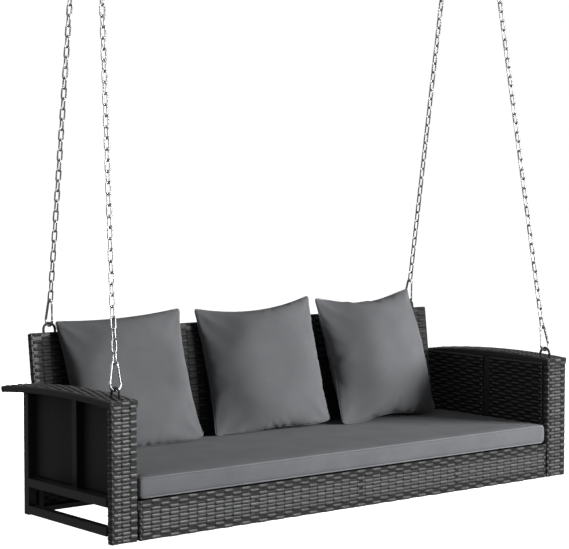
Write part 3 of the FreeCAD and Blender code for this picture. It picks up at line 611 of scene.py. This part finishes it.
def arm_section(low, high):
    """The armrest's core across the arm, from its left shoulder: X, and height from the arch's top."""
    half = [(0.0, 3 * MM - ARM_THICKNESS), (1 * MM, LAP - ARM_THICKNESS), (FASCIA, SKIN - ARM_THICKNESS)]
    crown = [(0.0, -6 * MM), (1 * MM, -3 * MM), (3 * MM, -1 * MM), (FASCIA + 2 * MM, -SKIN)]
    left_under = [(low.x + inset, depth) for inset, depth in half]
    right_under = [(high.x - inset, depth) for inset, depth in half[::-1]]
    right_top = [(high.x - inset, depth) for inset, depth in crown]
    left_top = [(low.x + inset, depth) for inset, depth in crown[::-1]]
    return left_top[2:] + left_under + right_under + right_top + left_top[:2]


def arm_core(low, high):
    """The armrest's solid core with its smooth fascias, swept along the arch."""
    samples = np.linspace(SEAT_FRONT + 1 * MM, high.y, 40)
    section = arm_section(low, high)
    n = len(section)
    verts = []
    for y, up in zip(samples, square_to_arch(samples)):
        top = float(arch_height(y))
        verts += [(x, y + up[1] * depth, top + up[2] * depth) for x, depth in section]
    faces = []
    for ring in range(len(samples) - 1):
        start, following = ring * n, (ring + 1) * n
        for k in range(n):
            ahead = (k + 1) % n
            faces.append((start + k, start + ahead, following + ahead, following + k))
    faces += [tuple(range(n))[::-1], tuple(range((len(samples) - 1) * n, len(samples) * n))]
    core = new_object("core", verts, faces, smooth=False)
    mend_normals(core)
    return core


def armrest(side):
    low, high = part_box(f"{side}_armrest_wicker")
    woven = arm_strands(side, low, high)
    finish_wicker(f"{side}_armrest_weave", woven, [arm_core(low, high)], f"{side}_armrest_wicker")


def back():
    low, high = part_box("back_wicker")
    tilt = Matrix.Rotation(-BACK_RECLINE, 3, "X")
    turn = np.array(tilt)
    foot = Vector((0, low.y, low.z + BACK_THICKNESS * math.sin(BACK_RECLINE)))
    tall = (high.z - foot.z) / math.cos(BACK_RECLINE)

    def lean(place, out, across):
        return place @ turn.T + np.array(foot), out @ turn.T, across @ turn.T

    def face_lift(points, tangents, rows):
        return lean(*upright_lift(points, tangents, rows))

    def top_lift(points, tangents, rows):
        return lean(*level_lift(points, rows, tall, 1))

    rows = row_places(1 * MM, tall - 1 * MM)
    middle = BACK_THICKNESS / 2
    deep = BACK_THICKNESS
    shapes = {"front": [(low.x, middle), (low.x, 0), (high.x, 0), (high.x, middle)],
              "rear": [(high.x, middle), (high.x, deep), (low.x, deep), (low.x, middle)]}
    woven = {}
    for name, corners in shapes.items():
        line = Line(corners, CORNER)
        stakes = even_stakes(0, line.length)
        # painted shade: the back's strands are darkened as a whole
        woven[name] = weave(f"back_{name}", line, rows, stakes, face_lift, painted_light=BACK_PAINTED_SHADE)
    line = Line([(low.x + 4 * MM, 0), (high.x - 4 * MM, 0)], 1 * MM)
    edge_rows = np.array([0.25, 0.75]) * BACK_THICKNESS
    woven["top"] = weave("back_top", line, edge_rows, even_stakes(0, line.length), top_lift)
    inset = SKIN - LAP
    outline = rounded_box_outline((low.x, 0), (high.x, BACK_THICKNESS), CORNER, inset)
    backing = prism("backing", outline, 0.5 * MM, tall - inset, "Z")
    backing.data.transform(Matrix.Translation(foot) @ tilt.to_4x4())
    front = [woven["front"], woven["top"]]
    finish_wicker("back_front_weave", front, [backing], "back_wicker", material=BACK_WICKER)
    finish_wicker("back_rear_weave", [woven["rear"]], [], "back_wicker", material=BACK_WICKER)


def deck():
    """The seat's woven deck, seen from below. Its strands run along the seat."""
    low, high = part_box("seat_deck_wicker")
    rim = 26 * MM

    def lift(points, tangents, rows):
        return level_lift(points, rows, low.z, -1)

    line = Line([(low.x, 0), (high.x, 0)], 1 * MM)
    rows = row_places(low.y + rim, high.y - 10 * MM)
    woven = weave("deck", line, rows, even_stakes(0, line.length), lift, margin=rim)
    outline = [(low.x, low.y), (high.x, low.y), (high.x, high.y), (low.x, high.y)]
    sheet = prism("backing", outline, low.z + SKIN - LAP, high.z, "Z")
    finish_wicker("seat_deck_weave", [woven], [sheet], "seat_deck_wicker")


# ------------------------------------------------------------------ chains

LINK_WIRE = 5 * MM
LINK_HALF_WIDTH = 7.5 * MM  # to the middle of the wire


def welded(mesh):
    """A copy of a mesh with its doubled vertices made one."""
    bm = bmesh.new()
    bm.from_mesh(mesh)
    bmesh.ops.remove_doubles(bm, verts=bm.verts, dist=0.02 * MM)
    copy = bpy.data.meshes.new("welded")
    bm.to_mesh(copy)
    bm.free()
    return copy


def islands(mesh):
    """The vertex groups that hang together, one for each link."""
    parent = np.arange(len(mesh.vertices))

    def root(k):
        while parent[k] != k:
            parent[k] = parent[parent[k]]
            k = parent[k]
        return k

    for edge in mesh.edges:
        a, b = root(edge.vertices[0]), root(edge.vertices[1])
        if a != b:
            parent[a] = b
    found = {}
    for k in range(len(parent)):
        found.setdefault(root(k), []).append(k)
    return list(found.values())


def link_verts(half_length, half_width, wire, turns=10, around=10):
    """A smooth oval link, long axis Z, in the XZ plane: half sizes run to the wire's middle."""
    straight_half = half_length - half_width
    path = []
    for k in (1, -1):
        for a in np.linspace(0, math.pi, turns + 1):
            path.append((k * half_width * math.cos(a), k * (straight_half + half_width * math.sin(a))))
    path = np.array(path)
    ahead = np.roll(path, -1, axis=0)
    behind = np.roll(path, 1, axis=0)
    tangent = (ahead - behind) / np.linalg.norm(ahead - behind, axis=1, keepdims=True)
    normal = np.stack([tangent[:, 1], -tangent[:, 0]], axis=1)
    angle = np.linspace(0, 2 * math.pi, around, endpoint=False)
    verts = np.zeros((len(path), around, 3))
    verts[:, :, 0] = path[:, None, 0] + normal[:, None, 0] * np.cos(angle) * wire / 2
    verts[:, :, 2] = path[:, None, 1] + normal[:, None, 1] * np.cos(angle) * wire / 2
    verts[:, :, 1] = np.sin(angle) * wire / 2
    index = np.arange(len(path) * around).reshape(len(path), around)
    following = np.roll(index, -1, axis=0)
    corners = [index, following, np.roll(following, -1, axis=1), np.roll(index, -1, axis=1)]
    return verts.reshape(-1, 3), np.stack(corners, axis=-1).reshape(-1, 4)


def chain(name):
    """Round smooth links where the frame's own links lie."""
    source = welded(NODES[name].data)
    points = np.array([v.co for v in source.vertices])
    verts, faces = [], []
    offset = 0
    for members in islands(source):
        own = points[members]
        spread = own - own.mean(axis=0)
        axes = np.linalg.eigh(spread.T @ spread)[1][:, ::-1]
        along = axes[:, 0] * np.sign(axes[2, 0])
        across = axes[:, 1]
        basis = np.stack([across, np.cross(along, across), along])
        local = own @ basis.T
        low, high = local.min(axis=0), local.max(axis=0)
        link, quads = link_verts((high[2] - low[2] - LINK_WIRE) / 2, LINK_HALF_WIDTH, LINK_WIRE)
        verts.append((link + (low + high) / 2) @ basis)
        faces.append(quads + offset)
        offset += len(link)
    obj = new_object(f"{name}_links", np.concatenate(verts), np.concatenate(faces))
    mend_normals(obj)
    paint(obj, ZINC)
    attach(obj, "swing")
    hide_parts(name)


# ------------------------------------------------------------------ cloth

WELT_SMOOTHING = 3


def inflate(pressures, frames, settings):
    """Runs Blender's cloth on the objects together, then keeps the result in their meshes."""
    scene = bpy.context.scene
    scene.frame_start, scene.frame_end = 1, frames
    for obj, pressure in pressures.items():
        cloth = obj.modifiers.new("Cloth", "CLOTH")
        cloth.settings.use_pressure = True
        cloth.settings.uniform_pressure_force = pressure
        cloth.settings.effector_weights.gravity = 0
        for key, value in settings.items():
            setattr(cloth.settings, key, value)
        cloth.collision_settings.use_collision = False
        cloth.point_cache.frame_start, cloth.point_cache.frame_end = 1, frames
    for k in range(1, frames + 1):
        scene.frame_set(k)
    graph = bpy.context.evaluated_depsgraph_get()
    for obj in pressures:
        final = bpy.data.meshes.new_from_object(obj.evaluated_get(graph))
        obj.modifiers.clear()
        obj.data = final
    scene.frame_set(1)


def coordinates(obj):
    points = np.empty(len(obj.data.vertices) * 3, np.float32)
    obj.data.vertices.foreach_get("co", points)
    return points.reshape(-1, 3).astype(float)


def move_to(obj, points):
    obj.data.vertices.foreach_set("co", points.astype(np.float32).ravel())
    obj.data.update()


def finish_cloth(obj, node, material):
    obj.data.shade_smooth()
    smooth = obj.modifiers.new("Smooth", "SUBSURF")
    smooth.levels = smooth.render_levels = 1
    paint(obj, material)
    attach(obj, "swing")
    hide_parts(node)


def welt(name, path, node, radius):
    """The thin seam piped round a soft piece, along a closed path of points."""
    for _ in range(WELT_SMOOTHING):
        path = (np.roll(path, 1, axis=0) + 2 * path + np.roll(path, -1, axis=0)) / 4
    curve = bpy.data.curves.new(name, "CURVE")
    curve.dimensions = "3D"
    curve.bevel_depth = radius
    curve.bevel_resolution = 1
    spline = curve.splines.new("POLY")
    spline.points.add(len(path) - 1)
    spline.points.foreach_set("co", np.append(path, np.ones((len(path), 1)), axis=1).ravel())
    spline.use_cyclic_u = True
    source = add_object("welt_source", curve)
    graph = bpy.context.evaluated_depsgraph_get()
    mesh = bpy.data.meshes.new_from_object(source.evaluated_get(graph))
    bpy.data.objects.remove(source)
    mesh.shade_smooth()
    obj = add_object(name, mesh)
    paint(obj, WELT_CLOTH)
    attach(obj, "swing")
    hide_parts(node)


# turn about Z, lean back and roll in its own plane (degrees); corner-to-corner width and height (mm);
# shift from the CAD pillow (mm); pressure of the filling; how far the top, left and right edges are drawn
# in (mm); how much flatter the left flank is
Pillow = namedtuple("Pillow", "turn lean roll width height shift pressure pulls flank")
PILLOWS = {
    "left_pillow": Pillow(-3.5, 16.2, 2.5, 458, 420, (-4, 10, -4), 4.2, (-5, 0, 14), 0.50),
    "middle_pillow": Pillow(-5.7, 13.5, 3.2, 454, 429, (0, 10, 0), 5.2, (14, -10, 0), 0.75),
    "right_pillow": Pillow(2.3, 17.2, 1.7, 452, 442, (-2, 6, 3), 5.0, (14, -10, 0), 0.75),
}
PILLOW_CELLS = 48
PILLOW_LIFT = 12 * MM  # how far apart from the middle plane each side starts
PILLOW_RUFFLE = 0.6 * MM
PILLOW_WELT = 1.0 * MM
PILLOW_FRAMES = 10
PILLOW_CLOTH_SETTINGS = {"quality": 6, "mass": 0.3, "tension_stiffness": 40, "compression_stiffness": 40,
                         "shear_stiffness": 8, "bending_stiffness": 0.3, "air_damping": 1}
SEAM_FADE = 12  # cells over which a seam's smoothing dies away
PILLOW_BACK_DEPTH = 52 * MM
PILLOW_BACK_KNEE = 0.6  # share of the back's depth from which it flattens
PILLOW_FULLNESS = 1.65
PILLOW_SAG = 26 * MM
PILLOW_KNEE = 3 * MM
# how much flatter the front gets towards an edge, and the share of the way out where that starts
LEFT_FLANK_START = 0.35
RIGHT_FLANK = (0.3, 0.3)
BOTTOM_FLANK = (0.5, 0.4)
TOP_FLANK = (0.25, 0.4)
CREASES = 5
CREASE_DEPTH = 3.5 * MM
CREASE_REACH = 75 * MM
CREASE_FADE = 12 * MM  # creases die away nearer than this to the seam's plane


def pillow_attitude(name):
    """The matrix that takes a pillow from its own frame to its place against the back."""
    pillow = PILLOWS[name]
    low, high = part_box(name)
    matrix = Matrix.Translation((low + high) / 2 + Vector(pillow.shift) * MM)
    for angle, axis in ((pillow.turn, "Z"), (-pillow.lean, "X"), (-pillow.roll, "Y")):
        matrix = matrix @ Matrix.Rotation(math.radians(angle), 4, axis)
    return matrix


def pillow_blank(name, width, height):
    """Two flat squares of cloth sewn at their rims and a little apart in the middle, in their own frame."""
    cells = PILLOW_CELLS
    k = np.linspace(-1, 1, cells + 1)
    u, w = np.meshgrid(k, k, indexing="ij")
    dome = (1 - u ** 2) * (1 - w ** 2)
    verts, index = [], {}
    for layer in (-1, 1):
        lift = layer * dome * (PILLOW_LIFT + PILLOW_RUFFLE * rng.random(u.shape))
        for i in range(cells + 1):
            for j in range(cells + 1):
                rim = i in (0, cells) or j in (0, cells)
                if rim and layer == 1:
                    index[layer, i, j] = index[-1, i, j]
                    continue
                index[layer, i, j] = len(verts)
                verts.append((u[i, j] * width / 2, lift[i, j], w[i, j] * height / 2))
    faces = []
    for layer in (-1, 1):
        for i in range(cells):
            for j in range(cells):
                quad = [index[layer, i, j], index[layer, i + 1, j], index[layer, i + 1, j + 1],
                        index[layer, i, j + 1]]
                faces.append(quad if layer == -1 else quad[::-1])
    obj = new_object(name, verts, faces)
    mend_normals(obj)
    return obj


def even_seams(points):
    """Takes the kinks out of a pillow's four seams, easing the change off towards its middle."""
    count = PILLOW_CELLS + 1
    front = np.arange(count ** 2).reshape(count, count)
    back = front.copy()
    back[1:-1, 1:-1] = count ** 2 + np.arange((count - 2) ** 2).reshape(count - 2, count - 2)
    k = np.linspace(-1, 1, count)
    for turn in range(4):
        fore, rear = np.rot90(front, turn), np.rot90(back, turn)
        seam = fore[0]
        for axis in range(3):
            smooth = np.polyval(np.polyfit(k, points[seam, axis], 4), k)
            change = (smooth - points[seam, axis]) * (1 - k ** 8)
            points[seam, axis] += change
            for depth in range(1, SEAM_FADE):
                fade = change[1:-1] * (1 - depth / SEAM_FADE) ** 2
                points[fore[depth, 1:-1], axis] += fade
                points[rear[depth, 1:-1], axis] += fade


def flattened(share, amount, start):
    """One up to the start, then falling evenly by the amount at a share of one, with a soft bend."""
    soft = 0.08
    return 1 - amount * soft * np.log1p(np.exp((share - start) / soft)) / (1 - start)


def round_pillow(points, across, rise, flank):
    """Flattens a pillow's back and fills out its front."""
    depth, knee = PILLOW_BACK_DEPTH, PILLOW_BACK_KNEE
    behind = points[:, 1] > knee * depth
    past = points[behind, 1] / depth - knee
    points[behind, 1] = depth * (1 - (1 - knee) * np.exp(-past / (1 - knee)))
    ahead = points[:, 1] < 0
    slope = flattened(-across, flank, LEFT_FLANK_START) * flattened(across, *RIGHT_FLANK)
    slope *= flattened(-rise, *BOTTOM_FLANK) * flattened(rise, *TOP_FLANK)
    points[ahead, 1] *= PILLOW_FULLNESS * slope[ahead]


def fit_pillow(obj, pillow):
    """Brings the swollen pillow to its corner-to-corner size, rounds its front and sags its bottom."""
    points = coordinates(obj)
    even_seams(points)
    low, high = points.min(axis=0), points.max(axis=0)
    size = np.array([pillow.width, 0, pillow.height]) * MM
    for k in (0, 2):
        points[:, k] = (points[:, k] - (low[k] + high[k]) / 2) * size[k] / (high[k] - low[k])
    across = np.clip(points[:, 0] / (size[0] / 2), -1, 1)
    rise = np.clip(points[:, 2] / (size[2] / 2), -1, 1)
    round_pillow(points, across, rise, pillow.flank)
    creases(points, size[0], size[2])
    top, left, right = pillow.pulls
    points[:, 2] -= PILLOW_SAG * (1 - across ** 4) * np.clip(-rise, 0, 1) ** 3
    points[:, 2] -= top * MM * (1 - across ** 2) * np.clip(rise, 0, 1) ** 3
    points[:, 0] += left * MM * (1 - rise ** 2) * np.clip(-across, 0, 1) ** 3
    points[:, 0] -= right * MM * (1 - rise ** 2) * np.clip(across, 0, 1) ** 3
    move_to(obj, points)


def creases(points, width, height):
    """Small folds that fan out of each corner, where the cloth is gathered."""
    outward = CREASE_DEPTH * np.sign(points[:, 1])
    for sx in (-1, 1):
        for sz in (-1, 1):
            to_x = width / 2 - sx * points[:, 0]
            to_z = height / 2 - sz * points[:, 2]
            away = np.hypot(to_x, to_z)
            turn = np.arctan2(to_z, to_x) - math.pi / 4
            share = away / CREASE_REACH
            fold = np.cos(turn * 2 * CREASES + sx + sz * 0.7) * share * np.exp(1 - 2 * share)
            points[:, 1] += outward * fold * np.clip(np.abs(points[:, 1]) / CREASE_FADE, 0, 1)


def pillow_rim():
    """Vertex numbers round a pillow's rim: the first layer is laid out row by row."""
    last, row = PILLOW_CELLS, PILLOW_CELLS + 1
    rim = [j for j in range(last)] + [i * row + last for i in range(last)]
    rim += [last * row + last - j for j in range(last)] + [(last - i) * row for i in range(last)]
    return rim


def rest_on(obj, height):
    """Presses what would go below a level surface flat onto it."""
    points = coordinates(obj)
    above = points[:, 2] - height
    points[:, 2] = height + (above + np.hypot(above, PILLOW_KNEE)) / 2
    move_to(obj, points)


def pillows():
    made = {}
    for name, pillow in PILLOWS.items():
        made[name] = pillow_blank(f"{name}_soft", pillow.width * MM, pillow.height * MM)
    pressures = {obj: PILLOWS[name].pressure for name, obj in made.items()}
    inflate(pressures, PILLOW_FRAMES, PILLOW_CLOTH_SETTINGS)
    for name, obj in made.items():
        fit_pillow(obj, PILLOWS[name])
        obj.data.transform(pillow_attitude(name))
        rest_on(obj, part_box("seat_cushion")[1].z + CUSHION_CROWN)
        welt(f"{name}_welt", coordinates(obj)[pillow_rim()], name, PILLOW_WELT)
        finish_cloth(obj, name, PILLOW_CLOTH)


CUSHION_CELL = 14 * MM
CUSHION_ROUND = 5 * MM
CUSHION_CROWN = 4 * MM
CUSHION_BULGE = 3 * MM  # the most that its front may stand proud
CUSHION_PRESSURE = 3.0
CUSHION_FRAMES = 12
WELT = 2.4 * MM
WELT_STANDS = -0.6 * MM  # how far outside the cushion's edge the welt's middle lies
CUSHION_SETTINGS = {"quality": 5, "mass": 0.3, "tension_stiffness": 30, "compression_stiffness": 30,
                    "shear_stiffness": 10, "bending_stiffness": 1.5, "air_damping": 2}


def box_grid(name, low, high, cell, radius):
    """A closed box of near-square cells whose edges and corners are rounded.

    Returns the object and the vertex numbers round its bottom and top edges.
    """
    size = high - low
    counts = [max(2, round(size[k] / cell)) for k in range(3)]
    bm = bmesh.new()
    found = {}

    def vertex(place):
        key = tuple(place)
        if key not in found:
            found[key] = bm.verts.new([low[k] + size[k] * place[k] / counts[k] for k in range(3)])
        return found[key]

    for axis in range(3):
        a, b = [k for k in range(3) if k != axis]
        for level in (0, counts[axis]):
            for i in range(counts[a]):
                for j in range(counts[b]):
                    ring = []
                    for da, db in ((0, 0), (1, 0), (1, 1), (0, 1)):
                        place = [0, 0, 0]
                        place[axis], place[a], place[b] = level, i + da, j + db
                        ring.append(vertex(place))
                    bm.faces.new(ring)
    for v in bm.verts:
        core = Vector([min(max(v.co[k], low[k] + radius), high[k] - radius) for k in range(3)])
        away = v.co - core
        if away.length > radius:
            v.co = core + away.normalized() * radius
    bmesh.ops.recalc_face_normals(bm, faces=bm.faces)
    bm.verts.index_update()
    nx, ny = counts[:2]
    border = [(k, 0) for k in range(nx)] + [(nx, k) for k in range(ny)]
    border += [(nx - k, ny) for k in range(nx)] + [(0, ny - k) for k in range(ny)]
    edges = [[found[i, j, level].index for i, j in border] for level in (0, counts[2])]
    mesh = bpy.data.meshes.new(name)
    bm.to_mesh(mesh)
    bm.free()
    return add_object(name, mesh), edges


def swell_cushion(obj, low, high):
    """Blows the cushion up a little, and keeps it in its box and flat underneath."""
    before = coordinates(obj)
    inflate({obj: CUSHION_PRESSURE}, CUSHION_FRAMES, CUSHION_SETTINGS)
    shift = coordinates(obj) - before
    length = np.maximum(np.linalg.norm(shift, axis=1, keepdims=True), 1e-9)
    after = before + shift / length * CUSHION_CROWN * np.tanh(length / CUSHION_CROWN)
    after[:, 2] = np.maximum(after[:, 2], low.z)
    after[:, 0] = np.clip(after[:, 0], low.x, high.x)
    after[:, 1] = np.clip(after[:, 1], low.y - CUSHION_BULGE, high.y)
    move_to(obj, after)


def cushion():
    low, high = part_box("seat_cushion")
    start_low = low + Vector((0.5, 1, 0)) * MM
    start_high = high - Vector((0.5, 2, 2)) * MM
    obj, edges = box_grid("seat_cushion_soft", start_low, start_high, CUSHION_CELL, CUSHION_ROUND)
    swell_cushion(obj, low, high)
    points = coordinates(obj)
    middle = np.array((low + high) / 2)
    for name, edge in zip(("bottom", "top"), edges):
        path = points[edge]
        path += np.sign(path - middle) * WELT_STANDS
        path[:, 0] = np.clip(path[:, 0], low.x + WELT, high.x - WELT)
        welt(f"seat_cushion_{name}_welt", path, "seat_cushion", WELT)
    finish_cloth(obj, "seat_cushion", CUSHION_CLOTH)


# ------------------------------------------------------------------ finishes of the CAD nodes

FINISHES = {"frame_steel": FRAME_PAINT, "ring_steel": RING_PAINT, "hanger_steel": RING_PAINT,
            "zinc_steel": ZINC, "end_cap_plastic": CAP_PLASTIC}
SHARP_EDGE = math.radians(35)


def dress_frame():
    slots = {s["node"]: s["material_slot"] for s in frame["record"]["subparts"]}
    for name, obj in NODES.items():
        if slots[name] in FINISHES and not obj.hide_render:
            paint(obj, FINISHES[slots[name]])
            obj.data.shade_smooth()
            edges = obj.modifiers.new("Edges", "EDGE_SPLIT")
            edges.split_angle = SHARP_EDGE


# ------------------------------------------------------------------ stage, light and camera

CAMERA_BACK = Vector((-2.7548, -4.2043, 1.0723))  # from the left outer front bottom corner of the seat
CAMERA_TURN, CAMERA_DROP = 0.6761, 0.0628
LENS = 114.98
SENSOR = 36
FLOOR_DROP = 0.27
FLOOR_REACH = 30
AMBIENT = 0.09
# each light's place from the middle of the seat, size, power, and the rays that don't see it
LIGHTS = {
    "key": ((4.7, -4.7, 1.45), (3.3, 2.4), 800, "visible_glossy"),
    "overhead": ((0.0, -2.5, 5.0), (4.0, 1.5), 100, "visible_diffuse"),
    "reflector": ((1.3, -4.6, 1.6), (1.6, 2.2), 200, "visible_diffuse"),
    "rear": ((1.0, 5.2, 0.4), (3.0, 1.5), 190, "visible_glossy"),
}
# how bright the room is to glossy rays, from a little under the horizon to near the top
ROOM = {"From Min": -0.2, "From Max": 0.9, "To Min": 0.18, "To Max": 0.75}


def area_light(name, offset, size, energy, unseen_by):
    target = Vector((0, 0.1, SEAT_BOTTOM + 0.3))
    light = bpy.data.lights.new(name, "AREA")
    light.shape = "RECTANGLE"
    light.size, light.size_y = size
    light.energy = energy
    obj = add_object(name, light)
    obj.location = target + Vector(offset)
    obj.rotation_euler = (-Vector(offset)).to_track_quat("-Z", "Y").to_euler()
    setattr(obj, unseen_by, False)


def studio_world():
    """White behind the object, a dim room around it, and a brighter ceiling for glossy surfaces."""
    world = bpy.data.worlds.new("studio")
    bpy.context.scene.world = world
    world.use_nodes = True
    tree = world.node_tree
    background = tree.nodes["Background"]
    background.inputs["Color"].default_value = (1, 1, 1, 1)
    kinds = ("LightPath", "TexCoord", "SeparateXYZ", "MapRange", "Mix", "Mix")
    path, direction, split, height, glossy, seen = (tree.nodes.new(f"ShaderNode{kind}") for kind in kinds)
    for socket, value in ROOM.items():
        height.inputs[socket].default_value = value
    glossy.inputs["A"].default_value = AMBIENT
    seen.inputs["B"].default_value = 1.0
    links = [(direction.outputs["Generated"], split.inputs["Vector"]),
             (split.outputs["Z"], height.inputs["Value"]),
             (path.outputs["Is Glossy Ray"], glossy.inputs["Factor"]),
             (height.outputs["Result"], glossy.inputs["B"]),
             (path.outputs["Is Camera Ray"], seen.inputs["Factor"]),
             (glossy.outputs["Result"], seen.inputs["A"]),
             (seen.outputs["Result"], background.inputs["Strength"])]
    for source, target in links:
        tree.links.new(source, target)


def floor():
    """A pale floor that neither lights the swing nor shows in it."""
    z = SEAT_BOTTOM - FLOOR_DROP
    corners = [(x * FLOOR_REACH, y * FLOOR_REACH, z) for x, y in ((-1, -1), (1, -1), (1, 1), (-1, 1))]
    obj = new_object("floor", corners, [(0, 1, 2, 3)], smooth=False)
    m = Nodes("pale_floor", Roughness=1.0, Base_Color=(0.8, 0.8, 0.8, 1), Emission_Color=(1, 1, 1, 1),
              Emission_Strength=1.0)
    paint(obj, m.material)
    obj.visible_diffuse = False
    obj.visible_glossy = False


def camera():
    data = bpy.data.cameras.new("camera")
    data.lens = LENS
    data.sensor_width = SENSOR
    data.clip_end = 200
    obj = add_object("camera", data)
    obj.location = Vector((COLUMN_LOW.x, SEAT_FRONT, SEAT_BOTTOM)) + CAMERA_BACK
    obj.rotation_euler = Euler((math.pi / 2 - CAMERA_DROP, 0, -CAMERA_TURN))
    bpy.context.scene.camera = obj
    bpy.context.scene.view_settings.view_transform = "Standard"


for side in SIDES:
    column(side)
    arm_panel(side)
    armrest(side)
for which in ("front", "rear"):
    apron(which)
back()
deck()
for end in ("front", "rear"):
    for side in SIDES:
        chain(f"{side}_{end}_chain")
pillows()
cushion()
dress_frame()
floor()
for name, settings in LIGHTS.items():
    area_light(name, *settings)
studio_world()
camera()
